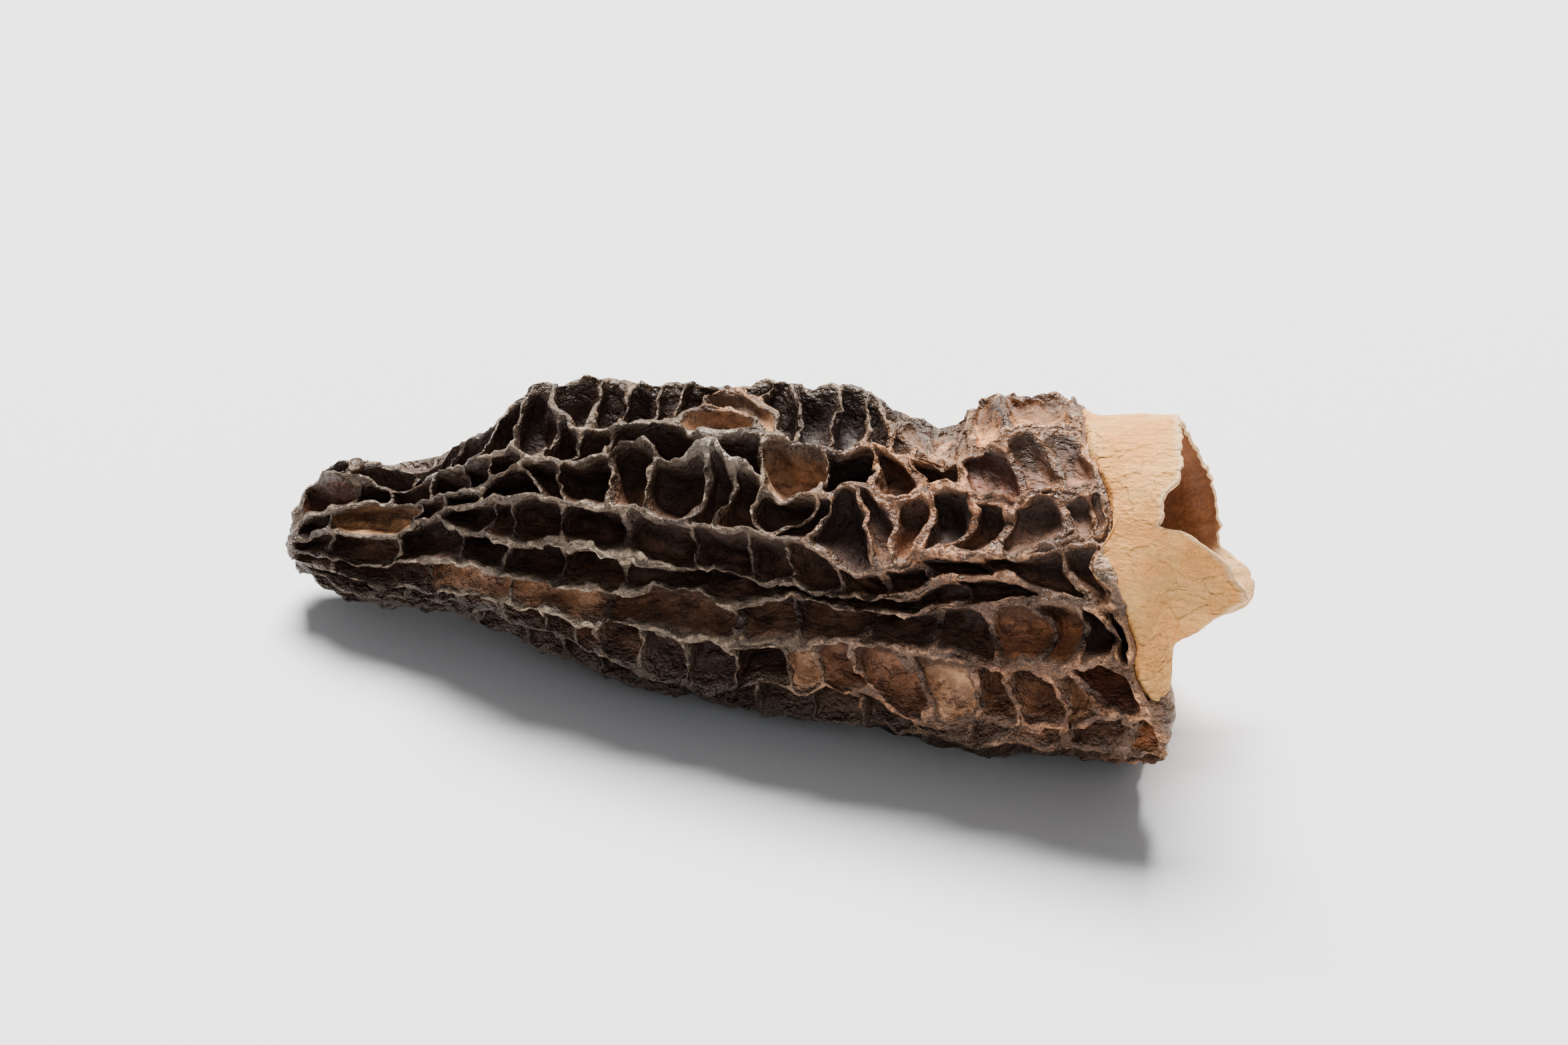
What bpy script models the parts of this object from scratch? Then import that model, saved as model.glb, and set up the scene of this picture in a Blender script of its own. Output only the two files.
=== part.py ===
"""A dried black morel lying on its side: one hollow piece, a pointed cap of ridges and pits on a torn stem stub.

Metres, +Z up, +X from the cap's tip to the stem. The cap's net of crests and ribs is drawn flat, as share of the cap's
length against angle, cut into pits there, and laid round the cap. Its last edge is then drawn out as the stem, turned
in at the torn rim and drawn back as the lining of the hollow. Angles go round the X axis: 0 is +Y, 90 is the top, 180
is -Y and -90 is the underside.
"""

import math
from functools import partial

import bmesh
import bpy
import numpy as np
from mathutils import Matrix, Vector, bvhtree, geometry, noise

MM = 0.001
NAME = "dried_morel"

# Driving sizes
STEM_RADIUS = 6.8 * MM
STEM_WALL = 0.7 * MM
PIT_DEPTH = 1.9 * MM
CREST_WIDTH = 0.6 * MM
RIB_DROP = 0.45 * MM
LEAST_WALL = 0.5 * MM
# Height of the ground that the crests of the underside are pressed flat against
GROUND = 0.55 * MM
# Pits with less than this from the middle to the side are left as creases in a crest
LEAST_PIT = 0.16 * MM

# The cap's base stands oblique to the cap: the underside reaches further along X than the top.
OBLIQUE = 0.42

# The cap's form: share of its length, then place along X, radius over the crests and height of the centre, in mm.
CAP_FORM = (
    (0.00, 0.0, 0.0, 3.4),
    (0.02, 0.1, 1.0, 3.7),
    (0.05, 0.9, 2.2, 4.3),
    (0.09, 3.0, 3.5, 4.9),
    (0.15, 6.2, 4.0, 5.3),
    (0.22, 9.6, 5.0, 6.7),
    (0.27, 11.8, 6.1, 7.6),
    (0.36, 15.8, 7.0, 7.6),
    (0.45, 19.7, 7.7, 7.7),
    (0.55, 24.1, 8.1, 7.9),
    (0.65, 28.5, 8.4, 8.2),
    (0.75, 32.8, 8.5, 8.2),
    (0.85, 37.2, 8.8, 8.6),
    (0.94, 41.2, 9.0, 8.9),
    (1.00, 43.8, 8.7, 9.1),
)

# Dents, and swellings where the depth is negative: share, angle, half-lengths of each, and depth in mm.
DENTS = (
    (0.60, 163, 0.22, 9, 1.1),
    (0.80, 68, 0.055, 34, 2.9),
    (0.17, 90, 0.03, 25, 0.8),
    (0.05, 95, 0.03, 35, -0.7),
    (0.34, 75, 0.07, 22, -0.7),
    (0.50, 10, 0.16, 14, 1.2),
    (0.62, -30, 0.12, 16, 0.9),
    (0.77, 235, 0.06, 25, -0.4),
    (0.96, 235, 0.09, 30, 0.8),
)

# The cap's base edge: angle, and how far it stands beyond the oblique plane there, in mm.
EDGE = (
    (0, -3.3), (30, -2.6), (55, -1.2), (74, 0.1), (100, 1.8), (118, 3.2), (130, 3.2), (143, 2.2), (151, 3.2),
    (160, 3.5), (177, 3.1), (197, 3.4), (212, 2.1), (225, 0.6), (245, -1.4), (270, -2.8), (300, -3.4), (330, -3.5),
    (360, -3.3),
)

# The torn rim of the stem: angle, and place along X in mm.
RIM = (
    (0, 45.6), (20, 44.9), (40, 45.1), (59, 45.6), (80, 46.4), (100, 47.0), (112, 46.9), (121, 46.6), (130, 46.6),
    (137, 47.0), (141, 48.3), (146, 49.0), (153, 50.1), (160, 51.1), (166, 51.9), (171, 51.9), (176, 51.3),
    (184, 49.9), (193, 48.5), (203, 47.3), (220, 46.5), (239, 45.7), (270, 44.3), (300, 45.2), (308, 46.6),
    (314, 47.8), (322, 48.1), (330, 47.4), (338, 46.4), (360, 45.6),
)
# Height of the stem's centre against place along X, in mm.
STEM_HEIGHT = ((40.0, 10.7), (46.0, 11.95), (52.0, 12.9))

# The hollow: place along X, radius and height of the centre, in mm, from the stem's foot back to its blind end.
HOLLOW_FORM = (
    (41.5, 5.7, 10.7), (38.0, 5.7, 9.4), (32.0, 5.5, 8.4), (25.5, 5.2, 8.0), (19.0, 4.5, 7.8), (14.0, 3.6, 7.6),
    (10.5, 2.4, 7.0), (8.3, 1.4, 6.4),
)

# The crests, in the order of their angles: which crest each starts and ends on, if any, then share and angle.
CRESTS = {
    "l": (None, None, ((0.045, -82), (0.12, -83), (0.30, -80), (0.50, -79), (0.70, -84), (0.85, -92), (1.0, -98))),
    "m": ("l", None, ((0.12, -83), (0.20, -66), (0.35, -57), (0.50, -57), (0.70, -60), (0.85, -66), (1.0, -72))),
    "n": (None, None, ((0.045, -52), (0.10, -46), (0.25, -37), (0.40, -34), (0.55, -33), (0.70, -37), (1.0, -46))),
    "o": ("n", None, ((0.16, -42), (0.25, -19), (0.40, -12), (0.55, -11), (0.70, -12), (0.85, -17), (1.0, -22))),
    "p": (None, None, ((0.045, -15), (0.10, -8), (0.25, 4), (0.40, 10), (0.55, 12), (0.70, 11), (0.85, 6), (1.0, 3))),
    "q": (None, None, ((0.045, 40), (0.10, 36), (0.25, 32), (0.40, 35), (0.55, 36), (0.70, 37), (0.85, 30), (1.0, 29))),
    "a": (None, None, (
        (0.045, 92), (0.10, 85), (0.16, 84), (0.22, 84), (0.26, 78), (0.30, 71), (0.38, 68), (0.46, 67), (0.54, 66),
        (0.62, 66), (0.70, 66), (0.74, 60), (0.78, 53), (0.82, 52), (0.86, 56), (0.92, 64), (1.0, 66),
    )),
    "c": ("a", "d", (
        (0.055, 92), (0.075, 103), (0.095, 107), (0.115, 106), (0.135, 108), (0.155, 103), (0.175, 105), (0.195, 110),
        (0.215, 116), (0.235, 120), (0.26, 121), (0.285, 119), (0.31, 121),
    )),
    "b": ("a", None, (
        (0.295, 71), (0.305, 82), (0.315, 91), (0.34, 99), (0.355, 105), (0.38, 107.5), (0.41, 101.5), (0.43, 99.5),
        (0.455, 99), (0.49, 103.5), (0.515, 106.5), (0.545, 109), (0.58, 105), (0.605, 104.5), (0.655, 107),
        (0.685, 107), (0.715, 103), (0.735, 100), (0.765, 102), (0.79, 104.5), (0.81, 106), (0.83, 103), (0.85, 99.5),
        (0.88, 99.5), (0.90, 99), (0.925, 95.5), (0.95, 91.5), (1.0, 88),
    )),
    "d": (None, None, (
        (0.045, 138), (0.06, 136), (0.09, 125), (0.12, 121), (0.15, 119), (0.18, 126), (0.20, 133), (0.235, 135.5),
        (0.265, 134.5), (0.295, 129.5), (0.31, 123), (0.345, 120), (0.365, 121), (0.395, 118), (0.41, 114),
        (0.43, 112), (0.45, 113), (0.47, 118), (0.485, 119), (0.505, 117), (0.53, 111), (0.55, 112.5), (0.565, 117),
        (0.585, 120), (0.60, 123), (0.61, 127), (0.63, 129.5), (0.65, 127.5), (0.68, 124), (0.705, 119), (0.725, 119),
        (0.75, 121.5), (0.775, 120), (0.79, 116), (0.81, 112.5), (0.84, 117), (0.86, 120.5), (0.88, 121), (0.90, 119),
        (0.94, 114.5), (0.96, 116), (1.0, 112),
    )),
    "e": (None, None, (
        (0.045, 158), (0.07, 156), (0.09, 153), (0.15, 152), (0.18, 150), (0.215, 146), (0.24, 143), (0.26, 142),
        (0.30, 143.5), (0.325, 140.5), (0.365, 141), (0.41, 139), (0.46, 139), (0.50, 142), (0.55, 142), (0.60, 144),
        (0.63, 144), (0.66, 143), (0.68, 145), (0.70, 151), (0.715, 153.5), (0.73, 152.5), (0.755, 149.5),
        (0.775, 147), (0.805, 141.5), (0.83, 141), (0.88, 143), (0.90, 142), (0.92, 140), (0.945, 136), (0.965, 132.5),
        (1.0, 131),
    )),
    "f": ("e", "g", (
        (0.205, 147), (0.225, 155), (0.25, 159), (0.30, 161), (0.325, 162), (0.36, 159.5), (0.385, 155), (0.40, 156.5),
        (0.44, 160.5), (0.455, 157.5), (0.47, 158.5), (0.50, 160), (0.55, 159.5), (0.60, 161), (0.66, 161.5),
        (0.69, 161.5), (0.715, 160.5), (0.74, 158.5), (0.76, 156), (0.79, 152), (0.82, 148.5), (0.85, 146.5),
        (0.88, 147), (0.90, 148), (0.925, 151),
    )),
    "g": (None, None, (
        (0.045, 176), (0.08, 174), (0.12, 175), (0.20, 175), (0.25, 176), (0.30, 179), (0.325, 178), (0.375, 174.5),
        (0.425, 172.5), (0.46, 172), (0.50, 168), (0.525, 168), (0.57, 169.5), (0.60, 167.5), (0.63, 166),
        (0.71, 165), (0.76, 162.5), (0.79, 160.5), (0.85, 157), (0.87, 155), (0.89, 152.5), (0.91, 151), (0.93, 151),
        (0.96, 152), (1.0, 153),
    )),
    "h": (None, None, (
        (0.045, 198), (0.07, 194), (0.10, 192), (0.15, 193), (0.20, 196), (0.25, 197), (0.30, 195), (0.35, 192),
        (0.40, 190.5), (0.42, 188.5), (0.45, 185), (0.475, 183), (0.50, 185), (0.525, 186), (0.55, 184), (0.60, 183.5),
        (0.65, 180), (0.68, 177), (0.74, 176), (0.79, 173.5), (0.81, 173), (0.83, 174.5), (0.90, 175), (0.92, 174),
        (0.935, 172), (0.95, 171), (1.0, 172),
    )),
    "i": ("h", None, (
        (0.06, 196), (0.10, 205), (0.15, 208), (0.25, 210), (0.30, 209), (0.35, 208), (0.40, 205), (0.43, 203),
        (0.46, 204.5), (0.50, 211), (0.54, 214), (0.57, 212), (0.585, 206), (0.61, 200), (0.645, 202.5), (0.67, 199.5),
        (0.69, 198.5), (0.715, 201), (0.76, 206), (0.785, 207), (0.81, 206.5), (0.83, 204), (0.85, 200.5),
        (0.875, 200), (0.895, 198), (0.93, 190.5), (0.95, 188), (0.975, 189), (1.0, 188),
    )),
    "j": (None, None, (
        (0.045, 224), (0.08, 228), (0.15, 230), (0.25, 232), (0.35, 230), (0.45, 230), (0.50, 233), (0.55, 232),
        (0.60, 228), (0.67, 224), (0.73, 221), (0.76, 218), (0.79, 216), (0.85, 214), (0.87, 217), (0.89, 209.5),
        (0.91, 208.5), (0.935, 211), (0.96, 213), (1.0, 212),
    )),
    "k": (None, None, (
        (0.045, 250), (0.10, 254), (0.20, 256), (0.40, 257), (0.60, 254), (0.70, 250), (0.80, 245), (0.90, 240),
        (1.0, 236),
    )),
}
# The crest where the flat net is cut open
SEAM = "k"

# The ribs between two crests: share on the first, share on the second, and how far the rib bows along the cap.
RIBS = {
    "ac": ((0.10, 0.09, 0), (0.155, 0.145, 0), (0.205, 0.185, 0), (0.25, 0.235, 0.005), (0.28, 0.29, -0.01)),
    "ab": (
        (0.35, 0.365, 0.005), (0.385, 0.405, 0), (0.42, 0.445, 0.005), (0.46, 0.50, 0), (0.555, 0.57, -0.01),
        (0.59, 0.63, 0.01), (0.66, 0.672, 0), (0.70, 0.715, 0.005), (0.75, 0.75, 0), (0.80, 0.80, 0),
        (0.84, 0.845, 0.005), (0.88, 0.895, 0), (0.925, 0.935, 0), (0.965, 0.965, 0),
    ),
    "cd": ((0.10, 0.105, 0.005), (0.14, 0.145, 0), (0.185, 0.19, 0), (0.225, 0.235, 0.005), (0.265, 0.27, 0)),
    "bd": (
        (0.335, 0.325, 0), (0.365, 0.36, 0.005), (0.40, 0.40, 0), (0.595, 0.60, -0.01), (0.665, 0.665, 0.005),
        (0.725, 0.73, 0.004), (0.77, 0.785, 0), (0.835, 0.83, 0), (0.895, 0.895, 0.012), (0.95, 0.945, 0.01),
    ),
    "de": (
        (0.085, 0.09, 0), (0.20, 0.205, 0), (0.255, 0.26, 0), (0.302, 0.335, 0.004), (0.35, 0.37, -0.006),
        (0.405, 0.425, 0.005), (0.467, 0.475, -0.008), (0.532, 0.52, 0.012), (0.56, 0.555, 0.008),
        (0.605, 0.613, -0.01), (0.665, 0.623, 0.018), (0.68, 0.67, 0.004), (0.71, 0.74, 0.01), (0.75, 0.765, 0.006),
        (0.785, 0.80, 0.006), (0.845, 0.83, 0.012), (0.885, 0.885, 0), (0.945, 0.95, 0.006), (0.98, 0.98, 0),
    ),
    "ef": (
        (0.275, 0.275, 0.005), (0.305, 0.305, 0), (0.365, 0.37, 0), (0.445, 0.45, 0), (0.525, 0.53, 0.004),
        (0.595, 0.60, 0), (0.645, 0.645, -0.004), (0.69, 0.69, 0.006), (0.745, 0.75, 0), (0.80, 0.81, 0),
        (0.87, 0.875, 0.004),
    ),
    "eg": ((0.09, 0.085, 0), (0.155, 0.16, 0.004), (0.96, 0.97, 0)),
    "fg": (
        (0.24, 0.24, 0), (0.305, 0.298, 0.004), (0.378, 0.37, 0), (0.45, 0.455, 0), (0.54, 0.54, 0.004),
        (0.62, 0.62, 0), (0.69, 0.695, 0), (0.77, 0.77, 0), (0.83, 0.83, 0.004),
    ),
    "gh": (
        (0.09, 0.09, 0), (0.19, 0.195, 0), (0.30, 0.305, 0), (0.452, 0.43, -0.006), (0.578, 0.588, 0.004),
        (0.645, 0.65, 0), (0.72, 0.72, 0.004), (0.79, 0.79, 0), (0.85, 0.855, -0.006), (0.90, 0.895, 0.014),
        (0.95, 0.94, 0.004), (0.98, 0.98, 0),
    ),
    "hi": (
        (0.11, 0.11, 0), (0.17, 0.17, 0.004), (0.235, 0.24, 0), (0.295, 0.30, -0.004), (0.345, 0.345, 0),
        (0.385, 0.385, 0.004), (0.425, 0.425, -0.006), (0.473, 0.47, 0.004), (0.525, 0.52, 0.006), (0.58, 0.578, 0),
        (0.625, 0.635, 0.006), (0.665, 0.665, 0), (0.71, 0.71, -0.008), (0.755, 0.768, 0), (0.825, 0.812, 0),
        (0.855, 0.85, 0), (0.905, 0.893, 0.008), (0.925, 0.942, 0),
    ),
    "ij": (
        (0.13, 0.12, 0), (0.19, 0.19, 0), (0.26, 0.255, 0.004), (0.32, 0.32, 0), (0.37, 0.365, 0),
        (0.415, 0.41, 0.004), (0.455, 0.46, 0), (0.505, 0.505, 0), (0.55, 0.55, 0.004), (0.597, 0.597, 0),
        (0.645, 0.645, 0.005), (0.695, 0.70, 0), (0.75, 0.755, 0), (0.80, 0.80, 0), (0.85, 0.845, 0.004),
        (0.898, 0.893, 0), (0.97, 0.947, 0.006),
    ),
}
# The ribs of the far side and the underside follow one rule: even steps along the cap with some stray.
RULED_PAIRS = ("jk", "kl", "ln", "lm", "mn", "np", "no", "op", "pq", "qa")
RIB_STEP = 0.062
RIB_STRAY = 0.018

# Fineness of the net
FIRST_SHARE = 0.045
LAST_SHARE = 1.0
CREST_STEP = 0.04
LEAST_STEP = 0.011
RING_STEP = 14


def through(table, at):
    """The values of a smooth curve through the table's points, at one station."""
    points = np.asarray(table, float)
    stations, values = points[:, 0], points[:, 1:]
    slopes = np.gradient(values, stations, axis=0)
    i = int(np.clip(np.searchsorted(stations, at) - 1, 0, len(stations) - 2))
    width = stations[i + 1] - stations[i]
    t = (at - stations[i]) / width
    return (
        (1 + 2 * t) * (1 - t) ** 2 * values[i]
        + t * (1 - t) ** 2 * width * slopes[i]
        + t * t * (3 - 2 * t) * values[i + 1]
        + t * t * (t - 1) * width * slopes[i + 1]
    )


def ease(low, high, value):
    """0 below low, 1 above high, and smooth between."""
    t = min(max((value - low) / (high - low), 0.0), 1.0)
    return t * t * (3 - 2 * t)


def angle_apart(a, b):
    return abs((a - b + 180) % 360 - 180)


def ring_place(along, radius, height, angle, lean):
    """A point on a ring round the X axis, leant so that its underside reaches further along."""
    across, up = radius * math.cos(math.radians(angle)), radius * math.sin(math.radians(angle))
    return Vector((along - lean * up, across, max(height + up, GROUND / MM))) * MM


def cap_point(share, angle, inward=0.0):
    """A point over or under the cap's crests."""
    along, radius, height = through(CAP_FORM, share)
    for at, dent_angle, half_length, half_angle, depth in DENTS:
        reach = ((share - at) / half_length) ** 2 + (angle_apart(angle, dent_angle) / half_angle) ** 2
        radius -= depth * math.exp(-reach)
    turn = math.radians(angle)
    lumps = noise.noise(Vector((6 * share, 1.6 * math.cos(turn), 1.6 * math.sin(turn))))
    radius += 0.35 * lumps * ease(0.05, 0.2, share) - inward / MM
    along += through(EDGE, angle % 360)[0] * ease(0.5, 1.0, share)
    return ring_place(along, radius, height, angle, OBLIQUE * ease(0.45, 1.0, share))


def stem_point(way, angle, inward=0.0):
    """A point on the stem: way is 0 at the cap's base and 1 at the torn rim."""
    foot = cap_point(LAST_SHARE, angle)
    along = foot.x / MM + (through(RIM, angle % 360)[0] - foot.x / MM) * way
    tube = ring_place(along, (STEM_RADIUS - inward) / MM, through(STEM_HEIGHT, along)[0], angle, 0)
    funnel = ease(0.0, 0.3, way)
    return tube * funnel + Vector((along * MM, foot.y, foot.z)) * (1 - funnel)


def hollow_point(ring, angle):
    """A point on the lining of the hollow."""
    along, radius, height = HOLLOW_FORM[ring]
    return ring_place(along, radius, height, angle, OBLIQUE * ease(22, 42, along))


def to_axis(point):
    """The shortest way from a point to the cap's axis, square to X."""
    form = np.array(CAP_FORM)
    return Vector((0, -point.y, np.interp(point.x / MM, form[:, 1], form[:, 3]) * MM - point.z))


def crest_angle(name, share):
    """Angle of a crest; one that starts or ends on another crest meets it there."""
    start, end, points = CRESTS[name]
    points = list(points)
    if start:
        points[0] = (points[0][0], crest_angle(start, points[0][0]))
    if end:
        points[-1] = (points[-1][0], crest_angle(end, points[-1][0]))
    wander = 0
    if name in "lmnopq" and share not in (points[0][0], points[-1][0]):
        wander = 3.5 * noise.noise(Vector((11 * share, 7.3 * ord(name), 0.5)))
    return through(points, share)[0] + wander * ease(0.0, 0.1, share - points[0][0])


def ruled_ribs(pair):
    """Ribs by rule, where the two crests of the pair run side by side with no other between them."""
    first, second = (CRESTS[name][2] for name in pair)
    low, high = max(first[0][0], second[0][0]), min(first[-1][0], second[-1][0])
    if pair in ("ln", "np"):
        high = CRESTS["m" if pair == "ln" else "o"][2][0][0]
    ribs = []
    place = low + RIB_STEP * (0.5 + 0.4 * (ord(pair[0]) % 2))
    while place < high - 0.02:
        stray = [RIB_STRAY * noise.noise(Vector((30 * place, 5.1 * ord(pair[0]), side))) for side in (0.5, 7.5, 3.5)]
        ribs.append((place + stray[0], place + stray[1], stray[2] / 2))
        place += RIB_STEP * (1 + 10 * stray[2])
    return ribs


def all_ribs():
    ribs = [(pair, *rib) for pair, listed in RIBS.items() for rib in listed]
    return ribs + [(pair, *rib) for pair in RULED_PAIRS for rib in ruled_ribs(pair)]


def crest_shares(name, joins):
    """Where a crest has points: its ends, where ribs and crests join it, and even steps between those."""
    points = CRESTS[name][2]
    fixed = sorted({points[0][0], points[-1][0], *joins})
    shares = [fixed[0]]
    for share in fixed[1:]:
        if share - shares[-1] < LEAST_STEP / 2 and share != fixed[-1]:
            shares.append(share)
            continue
        steps = max(1, round((share - shares[-1]) / CREST_STEP))
        shares += [shares[-1] + (share - shares[-1]) * (i + 1) / steps for i in range(steps)]
    return shares


def flat_net():
    """Points, edges and rib points of the net in the plane of share and angle / 360."""
    points, edges, low_points = [], [], set()
    numbers = {}

    def number(share, angle):
        key = (round(share, 5), round(angle, 3))
        if key not in numbers:
            numbers[key] = len(points)
            points.append(Vector((share, angle / 360)))
        return numbers[key]

    def chain(places):
        line = [number(*place) for place in places]
        edges.extend(pair for pair in zip(line, line[1:]) if pair[0] != pair[1])
        return line

    ribs = all_ribs()
    joins = {name: set() for name in CRESTS}
    for pair, first, second, _ in ribs:
        joins[pair[0]].add(first)
        joins[pair[1]].add(second)
    for name, (start, end, places) in CRESTS.items():
        if start:
            joins[start].add(places[0][0])
        if end:
            joins[end].add(places[-1][0])

    turns = {name: (0, -360) if name == SEAM else (0,) for name in CRESTS}
    for name in CRESTS:
        shares = crest_shares(name, joins[name])
        for turn in turns[name]:
            chain([(share, crest_angle(name, share) + turn) for share in shares])
    for pair, first, second, bow in ribs:
        turn = -360 if pair[0] == SEAM else 0
        start, end = crest_angle(pair[0], first) + turn, crest_angle(pair[1], second)
        middle = (first + second) / 2 + bow, (start + end) / 2
        line = chain([(first, start), middle, (second, end)])
        low_points.add(line[1])
    for share in (FIRST_SHARE, LAST_SHARE):
        ends = sorted(
            crest_angle(name, share) + turn
            for name in CRESTS
            for turn in turns[name]
            if share in (CRESTS[name][2][0][0], CRESTS[name][2][-1][0])
        )
        ring = [ends[0]]
        for angle in ends[1:]:
            steps = max(1, math.ceil((angle - ring[-1]) / RING_STEP))
            ring += [ring[-1] + (angle - ring[-1]) * (i + 1) / steps for i in range(steps)]
        chain([(share, angle) for angle in ring])
    return points, edges, low_points


def cap_net(bm):
    """Cuts the flat net into pits and lays it round the cap. Each vertex keeps its angle for the rings drawn from it."""
    points, edges, low_points = flat_net()
    flat, _, faces, sources, _, _ = geometry.delaunay_2d_cdt(points, edges, [], 3, 1e-6)
    turned = bm.verts.layers.float.new("angle")
    placed = []
    for (share, turn), source in zip(flat, sources):
        drop = RIB_DROP if low_points & set(source) else 0
        vert = bm.verts.new(cap_point(share, turn * 360, drop))
        vert[turned] = turn * 360
        placed.append(vert)
    for face in faces:
        bm.faces.new([placed[i] for i in face])
    bmesh.ops.remove_doubles(bm, verts=bm.verts, dist=1e-6)
    return list(bm.faces)


def draw_ring(bm, edges, place):
    """Draws an open edge ring out into the next ring, whose points are placed by angle."""
    turned = bm.verts.layers.float["angle"]
    drawn = bmesh.ops.extrude_edge_only(bm, edges=edges)["geom"]
    for vert in [item for item in drawn if isinstance(item, bmesh.types.BMVert)]:
        vert.co = place(vert[turned])
    return [item for item in drawn if isinstance(item, bmesh.types.BMEdge) and item.is_boundary]


def close_ring(bm, edges, place):
    """Draws an open ring together in one point."""
    verts = list({vert for edge in draw_ring(bm, edges, lambda _: place) for vert in edge.verts})
    bmesh.ops.pointmerge(bm, verts=verts, merge_co=place)


def draw_in(bm, face, amount):
    """A smaller face inside a pit's face: each corner goes a part of its way to the pit's long middle line."""
    face = bmesh.ops.extrude_discrete_faces(bm, faces=[face])["faces"][0]
    centre = face.calc_center_median()
    ways = [vert.co - centre for vert in face.verts]
    lengthwise = max(ways, key=lambda way: way.length).normalized()
    half_length = max(abs(way.dot(lengthwise)) for way in ways)
    half_width = max((way - lengthwise * way.dot(lengthwise)).length for way in ways)
    straight = max(half_length - half_width, 0)
    for vert, way in zip(face.verts, ways):
        along = min(max(way.dot(lengthwise), -straight), straight)
        vert.co = vert.co.lerp(centre + lengthwise * along, amount)
    return face


def sink_pits(bm, pits, lining):
    """Each pit is one face, drawn in to leave half of each crest round it, and then sunk, clear of the hollow."""
    for face in pits:
        centre = face.calc_center_median()
        narrow = 2 * face.calc_area() / face.calc_perimeter()
        if narrow < LEAST_PIT:
            continue
        room = lining.find_nearest(centre)[3] - LEAST_WALL
        depth = min(1.3 * narrow, PIT_DEPTH, room, 0.35 * to_axis(centre).length)
        rim = draw_in(bm, face, min(0.22, CREST_WIDTH / 2 / narrow))
        floor = draw_in(bm, rim, 0.28)
        for vert in floor.verts:
            vert.co += to_axis(vert.co).normalized() * depth


def settle(bm):
    """Flattens what is left under the ground, and puts the middle of the footprint at the origin."""
    for vert in bm.verts:
        vert.co.z = max(vert.co.z, GROUND)
    low = [min(vert.co[axis] for vert in bm.verts) for axis in range(3)]
    high = [max(vert.co[axis] for vert in bm.verts) for axis in range(3)]
    shift = Vector(((low[0] + high[0]) / 2, (low[1] + high[1]) / 2, low[2]))
    bmesh.ops.transform(bm, matrix=Matrix.Translation(-shift), verts=bm.verts)


def morel_mesh():
    bm = bmesh.new()
    pits = cap_net(bm)
    open_edges = [edge for edge in bm.edges if edge.is_boundary]
    middle = cap_point(0.5, 0).x
    tip = [edge for edge in open_edges if edge.verts[0].co.x < middle]
    ring = [edge for edge in open_edges if edge.verts[0].co.x > middle]
    close_ring(bm, draw_ring(bm, tip, partial(cap_point, 0.02)), cap_point(0, 0))

    for way in (0.1, 0.22, 0.4, 0.7, 1.0):
        ring = draw_ring(bm, ring, partial(stem_point, way))
    outside = set(bm.faces)
    for way in (1.0, 0.4):
        ring = draw_ring(bm, ring, partial(stem_point, way, inward=STEM_WALL))
    for number in range(len(HOLLOW_FORM)):
        ring = draw_ring(bm, ring, partial(hollow_point, number))
    along, _, height = HOLLOW_FORM[-1]
    close_ring(bm, ring, Vector((along - 0.6, 0, height)) * MM)

    bm.verts.index_update()
    inside = [[vert.index for vert in face.verts] for face in bm.faces if face not in outside]
    lining = bvhtree.BVHTree.FromPolygons([vert.co for vert in bm.verts], inside)
    bmesh.ops.recalc_face_normals(bm, faces=bm.faces)
    sink_pits(bm, pits, lining)
    settle(bm)
    mesh = bpy.data.meshes.new(NAME)
    bm.to_mesh(mesh)
    bm.free()
    return mesh


def flesh_material():
    material = bpy.data.materials.new("dried_flesh")
    material.use_nodes = True
    shader = material.node_tree.nodes["Principled BSDF"]
    shader.inputs["Base Color"].default_value = (0.10, 0.065, 0.045, 1)
    shader.inputs["Roughness"].default_value = 0.8
    shader.inputs["Metallic"].default_value = 0.0
    return material


def main():
    for obj in list(bpy.data.objects):
        bpy.data.objects.remove(obj)
    collection = bpy.data.collections.new(NAME)
    bpy.context.scene.collection.children.link(collection)
    mesh = morel_mesh()
    mesh.materials.append(flesh_material())
    collection.objects.link(bpy.data.objects.new(NAME, mesh))


main()
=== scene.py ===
# %% [markdown]
# # A dried black morel
#
# A morel is hollow: a pointed cap, whose outside is a net of crests round deep pits, on a pale hollow stem. This
# one was picked, torn off above the ground and dried lying down. The cap went dark and leathery, its crests
# shrank to thin wavy edges, and the stem stayed cream and papery. The lesson builds it in three skins that lie on
# one form: the cap, the stem stub with its torn rim, and the lining of the hollow.

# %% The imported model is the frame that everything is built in
import math

import bmesh
import bpy
import numpy as np
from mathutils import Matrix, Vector, bvhtree, geometry, noise


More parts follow.
